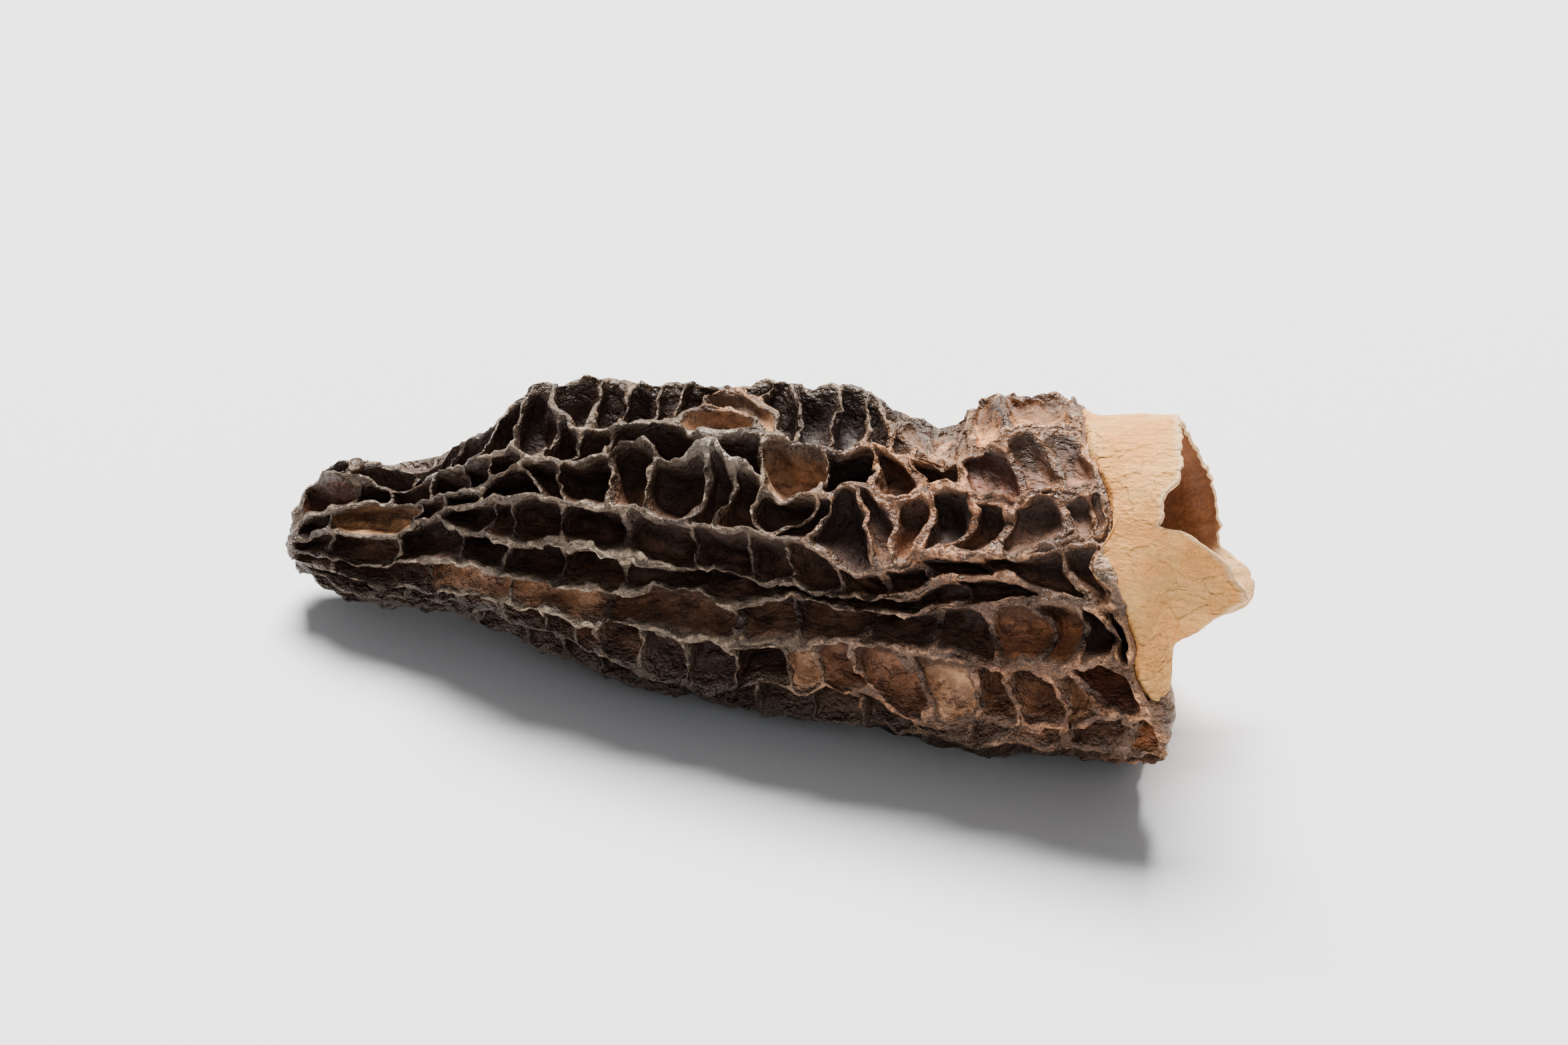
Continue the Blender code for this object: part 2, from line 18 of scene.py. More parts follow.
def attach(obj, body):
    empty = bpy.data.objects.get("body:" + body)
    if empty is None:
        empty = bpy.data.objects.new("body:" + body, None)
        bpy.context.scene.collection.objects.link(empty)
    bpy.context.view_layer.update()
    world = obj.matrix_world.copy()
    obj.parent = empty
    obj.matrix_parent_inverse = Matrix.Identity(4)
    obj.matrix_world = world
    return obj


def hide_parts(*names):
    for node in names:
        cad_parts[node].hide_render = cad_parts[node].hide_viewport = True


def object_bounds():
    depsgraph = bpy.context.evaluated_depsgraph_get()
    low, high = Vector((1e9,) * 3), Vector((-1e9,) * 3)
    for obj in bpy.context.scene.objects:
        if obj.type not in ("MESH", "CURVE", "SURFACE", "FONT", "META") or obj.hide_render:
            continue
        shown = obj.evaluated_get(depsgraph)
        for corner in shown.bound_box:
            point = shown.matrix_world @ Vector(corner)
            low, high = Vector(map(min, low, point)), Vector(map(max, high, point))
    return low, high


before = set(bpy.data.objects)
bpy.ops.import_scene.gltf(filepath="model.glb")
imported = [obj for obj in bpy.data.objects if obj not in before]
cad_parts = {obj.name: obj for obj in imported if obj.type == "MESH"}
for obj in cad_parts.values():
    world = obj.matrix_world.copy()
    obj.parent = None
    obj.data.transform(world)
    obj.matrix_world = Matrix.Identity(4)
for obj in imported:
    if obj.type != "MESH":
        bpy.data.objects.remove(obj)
cad_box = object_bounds()
MM = 0.001
print("solid", [round(side / MM, 1) for side in cad_box[1] - cad_box[0]], "mm")

# %% [markdown]
# ## The form under the net
#
# The solid was drawn from a few tables: how the cap swells along its length, where it is dented, how its base
# edge runs, and where the stem is torn. The same tables shape the fine skins here, so both stay one object. All
# are in millimetres from the cap's tip, and `MIDDLE` moves them into the frame. Angles go round the X axis: 0 is
# the far side, 90 the top, 180 the near side and 270 the underside.

# %% Tables of the form
MIDDLE = Vector((25.91, -0.05, 0.55)) * MM
STEM_RADIUS = 6.8
STEM_WALL = 0.7
PIT_DEPTH = 2.1
RIB_DROP = 0.45
LEAST_WALL = 0.35
GROUND = 0.55

# The cap's base stands oblique to the cap: the underside reaches further along X than the top.
OBLIQUE = 0.42

# The cap's form: share of its length, then place along X, radius over the crests and height of the centre, in mm.
CAP_FORM = (
    (0.00, 0.0, 0.0, 3.4),
    (0.02, 0.1, 1.0, 3.7),
    (0.05, 0.9, 2.2, 4.3),
    (0.09, 3.0, 3.5, 4.9),
    (0.15, 6.2, 4.0, 5.3),
    (0.22, 9.6, 5.0, 6.7),
    (0.27, 11.8, 6.1, 7.6),
    (0.36, 15.8, 7.0, 7.6),
    (0.45, 19.7, 7.7, 7.7),
    (0.55, 24.1, 8.1, 7.9),
    (0.65, 28.5, 8.4, 8.2),
    (0.75, 32.8, 8.5, 8.2),
    (0.85, 37.2, 8.8, 8.6),
    (0.94, 41.2, 9.0, 8.9),
    (1.00, 43.8, 8.7, 9.1),
)

# Dents, and swellings where the depth is negative: share, angle, half-lengths of each, and depth in mm.
DENTS = (
    (0.60, 163, 0.22, 9, 1.1),
    (0.80, 68, 0.055, 34, 2.9),
    (0.17, 90, 0.03, 25, 0.8),
    (0.05, 95, 0.03, 35, -0.7),
    (0.34, 75, 0.07, 22, -0.7),
    (0.50, 10, 0.16, 14, 1.2),
    (0.62, -30, 0.12, 16, 0.9),
    (0.77, 235, 0.06, 25, -0.4),
    (0.96, 235, 0.09, 30, 0.8),
)

# The cap's base edge: angle, and how far it stands beyond the oblique plane there, in mm.
EDGE = (
    (0, -3.3), (30, -2.6), (55, -1.2), (74, 0.1), (100, 1.8), (118, 3.2), (130, 3.2), (143, 2.2), (151, 3.2),
    (160, 3.5), (177, 3.1), (197, 3.4), (212, 2.1), (225, 0.6), (245, -1.4), (270, -2.8), (300, -3.4), (330, -3.5),
    (360, -3.3),
)

# The torn rim of the stem: angle, and place along X in mm.
RIM = (
    (0, 46.1), (20, 45.3), (40, 44.9), (59, 45.1), (80, 45.9), (100, 46.7), (112, 47.0), (118, 47.0), (124, 46.8),
    (130, 46.7), (136, 46.9), (140, 47.0), (142, 48.2), (146, 49.1), (154, 50.5), (163, 51.3), (167, 51.7),
    (170, 51.6), (174, 50.9), (185, 49.2), (199, 47.4), (203, 47.0), (220, 46.2), (239, 45.5), (270, 44.3),
    (295, 45.3), (299, 47.1), (303, 48.4), (308, 48.9), (314, 48.9), (320, 48.5), (326, 47.6), (332, 46.8),
    (340, 46.6), (350, 46.4), (360, 46.1),
)
# Height of the stem's centre against place along X, in mm.
STEM_HEIGHT = ((40.0, 10.7), (46.0, 11.95), (52.0, 12.9))

# The hollow: place along X, radius and height of the centre, in mm, from the stem's foot back to its blind end.
HOLLOW_FORM = (
    (41.5, 5.7, 10.7), (38.0, 5.7, 9.4), (32.0, 5.5, 8.4), (25.5, 5.2, 8.0), (19.0, 4.5, 7.8), (14.0, 3.6, 7.6),
    (10.5, 2.4, 7.0), (8.3, 1.4, 6.4),
)
print(len(CAP_FORM), "stations along the cap, and", len(DENTS), "dents and swellings")

# %% [markdown]
# The net has tables too. On the side that is seen, the crests follow the real ones from station to station and
# the ribs between them stand where the real ones do, because that is what makes it this mushroom and no other.

# %% Table of the crests
# The crests: which crest each starts and ends on, if any, then share of the cap's length and angle. The last ones
# named are short: s and t draw the layered, lens-shaped place on top, and r goes round the swelling near the base.
CRESTS = {
    "l": (None, None, ((0.045, -82), (0.12, -83), (0.30, -80), (0.50, -79), (0.70, -84), (0.85, -92), (1.0, -98))),
    "m": ("l", None, ((0.12, -83), (0.20, -66), (0.35, -57), (0.50, -57), (0.70, -60), (0.85, -66), (1.0, -72))),
    "n": (None, None, ((0.045, -52), (0.10, -46), (0.25, -37), (0.40, -34), (0.55, -33), (0.70, -37), (1.0, -46))),
    "o": ("n", None, ((0.16, -42), (0.25, -19), (0.40, -12), (0.55, -11), (0.70, -12), (0.85, -17), (1.0, -22))),
    "p": (None, None, (
        (0.045, -15), (0.10, -8), (0.25, 4), (0.40, 10), (0.55, 12), (0.70, 11), (0.85, 6), (1.0, 3),
    )),
    "q": (None, None, (
        (0.045, 40), (0.10, 36), (0.25, 32), (0.40, 35), (0.55, 36), (0.70, 37), (0.85, 30), (1.0, 29),
    )),
    "a": (None, None, (
        (0.045, 92), (0.10, 85), (0.16, 84), (0.22, 84), (0.26, 78), (0.30, 71), (0.38, 68), (0.46, 67),
        (0.54, 66), (0.62, 66), (0.70, 66), (0.74, 60), (0.78, 53), (0.82, 52), (0.86, 56), (0.92, 64), (1.0, 66),
    )),
    "c": ("a", "d", (
        (0.055, 92), (0.075, 103), (0.095, 107), (0.115, 106), (0.135, 108), (0.155, 103), (0.175, 105),
        (0.195, 110), (0.215, 116), (0.235, 120), (0.26, 121), (0.285, 119), (0.31, 121),
    )),
    "b": ("a", None, (
        (0.295, 71), (0.305, 82), (0.315, 91), (0.34, 99), (0.355, 105), (0.38, 107.5), (0.41, 101.5),
        (0.43, 99.5), (0.455, 99), (0.49, 103.5), (0.515, 106.5), (0.545, 109), (0.58, 105), (0.605, 104.5),
        (0.655, 107), (0.685, 107), (0.715, 103), (0.735, 100), (0.765, 102), (0.79, 104.5), (0.81, 106),
        (0.83, 103), (0.85, 99.5), (0.88, 99.5), (0.90, 99), (0.925, 95.5), (0.95, 91.5), (1.0, 88),
    )),
    "d": (None, None, (
        (0.045, 138), (0.06, 136), (0.09, 131), (0.12, 125), (0.15, 124), (0.18, 132), (0.20, 135), (0.235, 136),
        (0.265, 134.5), (0.295, 129.5), (0.31, 123), (0.345, 120), (0.365, 121), (0.395, 118), (0.41, 114),
        (0.43, 112), (0.45, 113), (0.47, 118), (0.485, 119), (0.505, 117), (0.53, 111), (0.55, 112.5),
        (0.565, 117), (0.585, 120), (0.60, 123), (0.61, 127), (0.63, 129.5), (0.65, 127.5), (0.68, 124),
        (0.705, 119), (0.725, 119), (0.75, 121.5), (0.775, 120), (0.79, 116), (0.81, 112.5), (0.84, 117),
        (0.86, 120.5), (0.88, 121), (0.90, 119), (0.94, 114.5), (0.96, 116), (1.0, 112),
    )),
    "e": (None, None, (
        (0.045, 158), (0.07, 155), (0.09, 151), (0.12, 153), (0.15, 151), (0.18, 147), (0.215, 145), (0.24, 143),
        (0.26, 142), (0.30, 143.5), (0.325, 140.5), (0.365, 141), (0.41, 139), (0.46, 139), (0.50, 142),
        (0.55, 142), (0.60, 144), (0.63, 144), (0.66, 143), (0.68, 145), (0.70, 151), (0.715, 153.5),
        (0.73, 152.5), (0.755, 149.5), (0.775, 147), (0.805, 141.5), (0.83, 141), (0.88, 143), (0.90, 142),
        (0.92, 140), (0.945, 136), (0.965, 132.5), (1.0, 131),
    )),
    "f": ("e", "g", (
        (0.205, 147), (0.225, 155), (0.25, 159), (0.30, 161), (0.325, 162), (0.36, 159.5), (0.385, 155),
        (0.40, 156.5), (0.44, 160.5), (0.455, 157.5), (0.47, 158.5), (0.50, 160), (0.55, 159.5), (0.60, 161),
        (0.66, 161.5), (0.69, 161.5), (0.715, 160.5), (0.74, 158.5), (0.76, 156), (0.79, 152), (0.82, 148.5),
        (0.85, 146.5), (0.88, 147), (0.90, 148), (0.925, 151),
    )),
    "g": (None, None, (
        (0.045, 176), (0.08, 174), (0.12, 175), (0.20, 175), (0.25, 176), (0.30, 179), (0.325, 178),
        (0.375, 174.5), (0.425, 172.5), (0.46, 172), (0.50, 168), (0.525, 168), (0.57, 169.5), (0.60, 167.5),
        (0.63, 166), (0.71, 165), (0.76, 162.5), (0.79, 160.5), (0.85, 157), (0.87, 155), (0.89, 152.5),
        (0.91, 151), (0.93, 151), (0.96, 152), (1.0, 153),
    )),
    "h": (None, None, (
        (0.045, 198), (0.07, 194), (0.10, 192), (0.15, 193), (0.20, 196), (0.25, 197), (0.30, 195), (0.35, 192),
        (0.40, 190.5), (0.42, 188.5), (0.45, 185), (0.475, 183), (0.50, 185), (0.525, 186), (0.55, 184),
        (0.60, 183.5), (0.65, 180), (0.68, 177), (0.74, 176), (0.79, 173.5), (0.81, 173), (0.83, 174.5),
        (0.90, 175), (0.92, 174), (0.935, 172), (0.95, 171), (1.0, 172),
    )),
    "i": ("h", None, (
        (0.06, 196), (0.10, 205), (0.15, 208), (0.25, 210), (0.30, 209), (0.35, 208), (0.40, 205), (0.43, 203),
        (0.46, 204.5), (0.50, 211), (0.54, 214), (0.57, 212), (0.585, 206), (0.61, 200), (0.645, 202.5),
        (0.67, 199.5), (0.69, 198.5), (0.715, 201), (0.76, 206), (0.785, 207), (0.81, 206.5), (0.83, 204),
        (0.85, 200.5), (0.875, 200), (0.895, 198), (0.93, 190.5), (0.95, 188), (0.975, 189), (1.0, 188),
    )),
    "j": (None, None, (
        (0.045, 224), (0.08, 228), (0.15, 230), (0.25, 232), (0.35, 230), (0.45, 230), (0.50, 233), (0.55, 232),
        (0.60, 228), (0.67, 224), (0.73, 221), (0.76, 218), (0.79, 216), (0.85, 214), (0.87, 217), (0.89, 209.5),
        (0.91, 208.5), (0.935, 211), (0.96, 213), (1.0, 212),
    )),
    "s": ("b", "b", ((0.470, 101), (0.49, 92), (0.515, 86), (0.545, 85), (0.58, 90), (0.61, 104))),
    "t": ("s", "b", ((0.495, 91), (0.515, 93), (0.54, 92.5), (0.565, 95), (0.592, 104))),
    "r": ("a", "a", ((0.715, 63), (0.735, 76), (0.76, 83), (0.79, 86), (0.82, 84), (0.845, 75), (0.87, 58))),
    "k": (None, None, (
        (0.045, 250), (0.10, 254), (0.20, 256), (0.40, 257), (0.60, 254), (0.70, 250), (0.80, 245), (0.90, 240),
        (1.0, 236),
    )),
}
# The crest where the flat net is cut open
SEAM = "k"
print(len(CRESTS), "crests")

# %% Table of the ribs
# The ribs between two crests: share on the first, share on the second, and how far the rib bows along the cap.
RIBS = {
    "ac": ((0.10, 0.09, 0), (0.155, 0.145, 0), (0.205, 0.185, 0), (0.25, 0.235, 0.005), (0.28, 0.29, -0.01)),
    "ab": (
        (0.35, 0.365, 0.005), (0.385, 0.405, 0), (0.42, 0.435, 0.005), (0.455, 0.458, 0), (0.59, 0.63, 0.01),
        (0.66, 0.672, 0), (0.70, 0.715, 0.005), (0.90, 0.91, 0),
    ),
    "as": ((0.495, 0.50, 0.003), (0.565, 0.56, 0)),
    "ar": ((0.75, 0.75, 0), (0.785, 0.785, 0.004), (0.83, 0.825, 0)),
    "rb": ((0.745, 0.745, 0), (0.77, 0.765, 0.004), (0.80, 0.805, 0), (0.83, 0.825, -0.004), (0.85, 0.855, 0)),
    "cd": ((0.10, 0.105, 0.005), (0.14, 0.145, 0), (0.185, 0.19, 0), (0.225, 0.235, 0.005), (0.265, 0.27, 0)),
    "bd": (
        (0.335, 0.325, 0), (0.365, 0.36, 0.005), (0.40, 0.40, 0), (0.595, 0.60, -0.01), (0.665, 0.665, 0.005),
        (0.725, 0.73, 0.004), (0.77, 0.785, 0), (0.835, 0.83, 0), (0.895, 0.895, 0.012), (0.95, 0.945, 0.01),
    ),
    "de": (
        (0.085, 0.085, 0), (0.178, 0.172, 0.008), (0.215, 0.22, 0), (0.255, 0.26, 0), (0.302, 0.335, 0.004),
        (0.35, 0.37, -0.006), (0.405, 0.425, 0.005), (0.467, 0.475, -0.008), (0.532, 0.52, 0.012),
        (0.56, 0.555, 0.008), (0.605, 0.613, -0.01), (0.665, 0.623, 0.018), (0.68, 0.67, 0.004),
        (0.71, 0.74, 0.01), (0.75, 0.765, 0.006), (0.785, 0.80, 0.006), (0.845, 0.83, 0.012), (0.885, 0.885, 0),
        (0.945, 0.95, 0.006), (0.98, 0.98, 0),
    ),
    "ef": (
        (0.275, 0.275, 0.005), (0.305, 0.305, 0), (0.365, 0.37, 0), (0.445, 0.45, 0), (0.525, 0.53, 0.004),
        (0.595, 0.60, 0), (0.645, 0.645, -0.004), (0.69, 0.69, 0.006), (0.745, 0.75, 0), (0.80, 0.81, 0),
        (0.87, 0.875, 0.004),
    ),
    "eg": ((0.09, 0.085, 0), (0.155, 0.16, 0.004), (0.96, 0.97, 0)),
    "fg": (
        (0.24, 0.24, 0), (0.305, 0.298, 0.004), (0.378, 0.37, 0), (0.45, 0.455, 0), (0.54, 0.54, 0.004),
        (0.62, 0.62, 0), (0.69, 0.695, 0), (0.77, 0.77, 0), (0.83, 0.83, 0.004),
    ),
    "gh": (
        (0.09, 0.09, 0), (0.19, 0.195, 0), (0.30, 0.305, 0), (0.452, 0.43, -0.006), (0.578, 0.588, 0.004),
        (0.645, 0.65, 0), (0.72, 0.72, 0.004), (0.79, 0.79, 0), (0.85, 0.855, -0.006), (0.90, 0.895, 0.014),
        (0.95, 0.94, 0.004), (0.98, 0.98, 0),
    ),
    "hi": (
        (0.11, 0.11, 0), (0.17, 0.17, 0.004), (0.235, 0.24, 0), (0.295, 0.30, -0.004), (0.345, 0.345, 0),
        (0.385, 0.385, 0.004), (0.425, 0.425, -0.006), (0.473, 0.47, 0.004), (0.525, 0.52, 0.006),
        (0.58, 0.578, 0), (0.625, 0.635, 0.006), (0.665, 0.665, 0), (0.71, 0.71, -0.008), (0.755, 0.768, 0),
        (0.825, 0.812, 0), (0.855, 0.85, 0), (0.905, 0.893, 0.008), (0.925, 0.942, 0),
    ),
    "ij": (
        (0.13, 0.12, 0), (0.19, 0.19, 0), (0.26, 0.255, 0.004), (0.32, 0.32, 0), (0.37, 0.365, 0),
        (0.415, 0.41, 0.004), (0.455, 0.46, 0), (0.505, 0.505, 0), (0.55, 0.55, 0.004), (0.597, 0.597, 0),
        (0.645, 0.645, 0.005), (0.695, 0.70, 0), (0.75, 0.755, 0), (0.80, 0.80, 0), (0.85, 0.845, 0.004),
        (0.898, 0.893, 0), (0.97, 0.947, 0.006),
    ),
}
# The ribs of the far side and the underside follow one rule: even steps along the cap with some stray. STEP_STRAY is
# how strongly a rib's stray changes the step to the next.
RULED_PAIRS = ("jk", "kl", "ln", "lm", "mn", "np", "no", "op", "pq", "qa")
RIB_STEP = 0.062
RIB_STRAY = 0.018
STEP_STRAY = 10
print(sum(len(listed) for listed in RIBS.values()), "ribs that are placed one by one")

# %% [markdown]
# A table gives only a few stations. A smooth curve through them gives every station between, so each table
# becomes a small function that can be asked anywhere. The other helpers here fade a value in, measure how near a
# place is to a patch of the surface, and give noise that changes slowly.

# %% Smooth curves, patches and slow noise
def smooth_curve(table):
    """A function of the station that runs smoothly through the table's points."""
    points = np.asarray(table, float)
    stations, values = points[:, 0], points[:, 1:]
    slopes = np.gradient(values, stations, axis=0)

    def at(station):
        i = int(np.clip(np.searchsorted(stations, station) - 1, 0, len(stations) - 2))
        width = stations[i + 1] - stations[i]
        t = (station - stations[i]) / width
        return (
            (1 + 2 * t) * (1 - t) ** 2 * values[i]
            + t * (1 - t) ** 2 * width * slopes[i]
            + t * t * (3 - 2 * t) * values[i + 1]
            + t * t * (t - 1) * width * slopes[i + 1]
        )

    return at


def ease(low, high, value):
    """0 at low, 1 at high, smooth between and level outside. Low may be the larger of the two."""
    t = min(max((value - low) / (high - low), 0.0), 1.0)
    return t * t * (3 - 2 * t)


def angle_apart(a, b):
    return abs((a - b + 180) % 360 - 180)


def nearness(share, angle, patch):
    """1 in the middle of a patch and less away from it. A patch is share, angle, half-length and half-angle."""
    at, middle_angle, half_length, half_angle = patch
    return math.exp(-(((share - at) / half_length) ** 2 + (angle_apart(angle, middle_angle) / half_angle) ** 2))


def slow_noise(along, across, layer):
    """Noise on a plane, between about -0.5 and 0.5. Each layer has a pattern of its own."""
    return noise.noise(Vector((along, across, layer)))


def round_noise(share, angle, along, around):
    """Noise on the cap that closes round it. Along and around say how often it changes."""
    turn = math.radians(angle)
    return noise.noise(Vector((along * share, around * math.cos(turn), around * math.sin(turn))))


cap_form = smooth_curve(CAP_FORM)
edge_form = smooth_curve(EDGE)
rim_form = smooth_curve(RIM)
stem_height = smooth_curve(STEM_HEIGHT)
hollow_form = smooth_curve(HOLLOW_FORM[::-1])
axis_height = smooth_curve([row[1:] for row in CAP_FORM[1:]])
print("the cap's radius halfway along is", round(float(cap_form(0.5)[1]), 2), "mm")

# %% [markdown]
# Four functions place every point of the mushroom: on the cap, on the stem, in the hollow, and the shortest way
# from a point to the cap's axis, which is the way that the pits sink.

# %% Points of the form
# How far the slow lumps of the cap's form swell, in mm
LUMP_HEIGHT = 0.35
# The torn rim is nibbled in steps of two sizes, each this deep, in mm
NIBBLE_DEPTH = 0.16
NIBBLE_SIZES = (0.9, 0.35)
# The stem starts in a funnel that takes up this part of it
FUNNEL = 0.3
# The hollow leans like the cap between these places along X, in mm
HOLLOW_LEAN = (22, 42)
AXIS_START = CAP_FORM[1][1]
AXIS_END = CAP_FORM[-1][1]
# Where the longest lobe of the torn rim stands
LOBE_ANGLE = 168


def ring_place(along, radius, height, angle, lean):
    """A point on a ring round the X axis, leant so that its underside reaches further along."""
    across = radius * math.cos(math.radians(angle))
    up = radius * math.sin(math.radians(angle))
    return Vector((along - lean * up, across, max(height + up, GROUND)))


def cap_point(share, angle, inward=0.0):
    along, radius, height = cap_form(share)
    for *patch, depth in DENTS:
        radius -= depth * nearness(share, angle, patch)
    lumps = round_noise(share, angle, 6, 1.6)
    radius += LUMP_HEIGHT * lumps * ease(0.05, 0.2, share) - inward
    along += edge_form(angle % 360)[0] * ease(0.5, 1.0, share)
    return ring_place(along, radius, height, angle, OBLIQUE * ease(0.45, 1.0, share))


def torn_edge(angle):
    """How far the torn rim stands beyond its table at one angle."""
    turn = math.radians(angle)
    around = Vector((math.cos(turn), math.sin(turn), 0)) * STEM_RADIUS
    coarse, fine = (around / size for size in NIBBLE_SIZES)
    return NIBBLE_DEPTH * noise.noise(coarse) + NIBBLE_DEPTH * noise.noise(fine + Vector((3, 1, 7)))


def stem_point(way, angle, inward=0.0):
    """A point on the stem: way is 0 at the cap's base and 1 at the torn rim."""
    foot = cap_point(1.0, angle, inward)
    rim = rim_form(angle % 360)[0] + torn_edge(angle)
    along = foot.x + (rim - foot.x) * way
    tube = ring_place(along, STEM_RADIUS - inward, stem_height(along)[0], angle, 0)
    funnel = ease(0.0, FUNNEL, way)
    return tube * funnel + Vector((along, foot.y, foot.z)) * (1 - funnel)


def hollow_point(along, angle, inward=0.0):
    radius, height = hollow_form(along)
    return ring_place(along, radius - inward, height, angle, OBLIQUE * ease(*HOLLOW_LEAN, along))


def to_axis(point):
    return Vector((0, -point.y, axis_height(min(max(point.x, AXIS_START), AXIS_END))[1] - point.z))


length = stem_point(1.0, LOBE_ANGLE).x - cap_point(0.0, 0).x
print("cap and stem are", round(length, 1), "mm from the tip to the torn lobe")

# %% [markdown]
# ## The net of crests
#
# The crests run the length of the cap, and ribs cross from one to the next. The net is drawn flat, as share of
# the cap's length against angle, and a constrained Delaunay triangulation of those lines returns every pit as one
# face. The side that the light and the eye fall on gets closer points than the underside.

# %% How fine the net is, and the crests' own curves
# The net runs between these shares of the cap's length
FIRST_SHARE = 0.045
LAST_SHARE = 1.0
# Steps of share along a crest and points on a rib, finer on the crests that are seen best
FINE_CRESTS = "abcdefghijkrst"
FINE_STEP = 0.011
COARSE_STEP = 0.03
FINE_RIB_POINTS = 7
COARSE_RIB_POINTS = 3
# How far the crests of the far side and the underside wander, and how far every crest wiggles, in degrees
RULED_CRESTS = "lmnopq"
CREST_WANDER = 3.5
CREST_WIGGLE = 2.5

crest_curves = {}
for crest_name, (starts_on, ends_on, crest_points) in CRESTS.items():
    crest_points = list(crest_points)
    if starts_on:
        crest_points[0] = (crest_points[0][0], crest_curves[starts_on](crest_points[0][0])[0])
    if ends_on and ends_on in crest_curves:
        crest_points[-1] = (crest_points[-1][0], crest_curves[ends_on](crest_points[-1][0])[0])
    crest_curves[crest_name] = smooth_curve(crest_points)


def crest_angle(name, share):
    """Angle of a crest. The crests of the far side and the underside also wander a little."""
    start, end, points = CRESTS[name]
    if start and share == points[0][0]:
        return crest_angle(start, share)
    if end and share == points[-1][0]:
        return crest_angle(end, share)
    wander = 0
    if name in RULED_CRESTS and share not in (points[0][0], points[-1][0]):
        wander = CREST_WANDER * slow_noise(11 * share, 7.3 * ord(name), 0.5)
    wander += CREST_WIGGLE * slow_noise(32 * share, 7.3 * ord(name), 4.5)
    return crest_curves[name](share)[0] + wander * ease(0.0, 0.1, share - points[0][0])


def crest_shares(name, joins):
    """Where a crest has points: its ends, where ribs and crests join it, and even steps between those."""
    points = CRESTS[name][2]
    step = FINE_STEP if name in FINE_CRESTS else COARSE_STEP
    shares = []
    for share in sorted({points[0][0], points[-1][0], *joins}):
        if shares:
            steps = max(1, round((share - shares[-1]) / step))
            shares += [shares[-1] + (share - shares[-1]) * (i + 1) / steps for i in range(steps - 1)]
        shares.append(share)
    return shares


print("the top crest starts at", round(float(crest_angle("a", FIRST_SHARE))), "degrees")

# %% Ribs by rule
# Two pairs run side by side only until another crest starts between them.
PARTED_BY = {"ln": "m", "np": "o"}
# No rib by rule stands nearer to the end of its crests than this
END_GAP = 0.02


def ruled_ribs(pair):
    """Ribs by rule, where the two crests of the pair run side by side with no other between them."""
    first, second = (CRESTS[name][2] for name in pair)
    low, high = max(first[0][0], second[0][0]), min(first[-1][0], second[-1][0])
    if pair in PARTED_BY:
        high = CRESTS[PARTED_BY[pair]][2][0][0]
    ribs = []
    place = low + RIB_STEP * (0.5 + 0.4 * (ord(pair[0]) % 2))
    while place < high - END_GAP:
        stray = [RIB_STRAY * slow_noise(30 * place, 5.1 * ord(pair[0]), layer) for layer in (0.5, 7.5, 3.5)]
        ribs.append((place + stray[0], place + stray[1], stray[2] / 2))
        place += RIB_STEP * (1 + STEP_STRAY * stray[2])
    return ribs


all_ribs = [(pair, *rib) for pair, listed in RIBS.items() for rib in listed]
all_ribs += [(pair, *rib) for pair in RULED_PAIRS for rib in ruled_ribs(pair)]
print(len(all_ribs), "ribs in all")

# %% The flat net
# How low the ribs hang between two crests, against RIB_DROP. The rest hang by 1.
RIB_FALLS = {"de": 0.8, "ef": 2.3, "fg": 2.0, "gh": 2.4, "ab": 1.6, "bd": 1.3}
FALL_STRAY = 0.8
# Steps of the rings that close the net at both ends, in degrees
RING_STEP = 5
# The triangulation returns the faces between the lines, and takes points closer than SAME_POINT as one
FACES_BETWEEN_LINES = 3
SAME_POINT = 1e-6


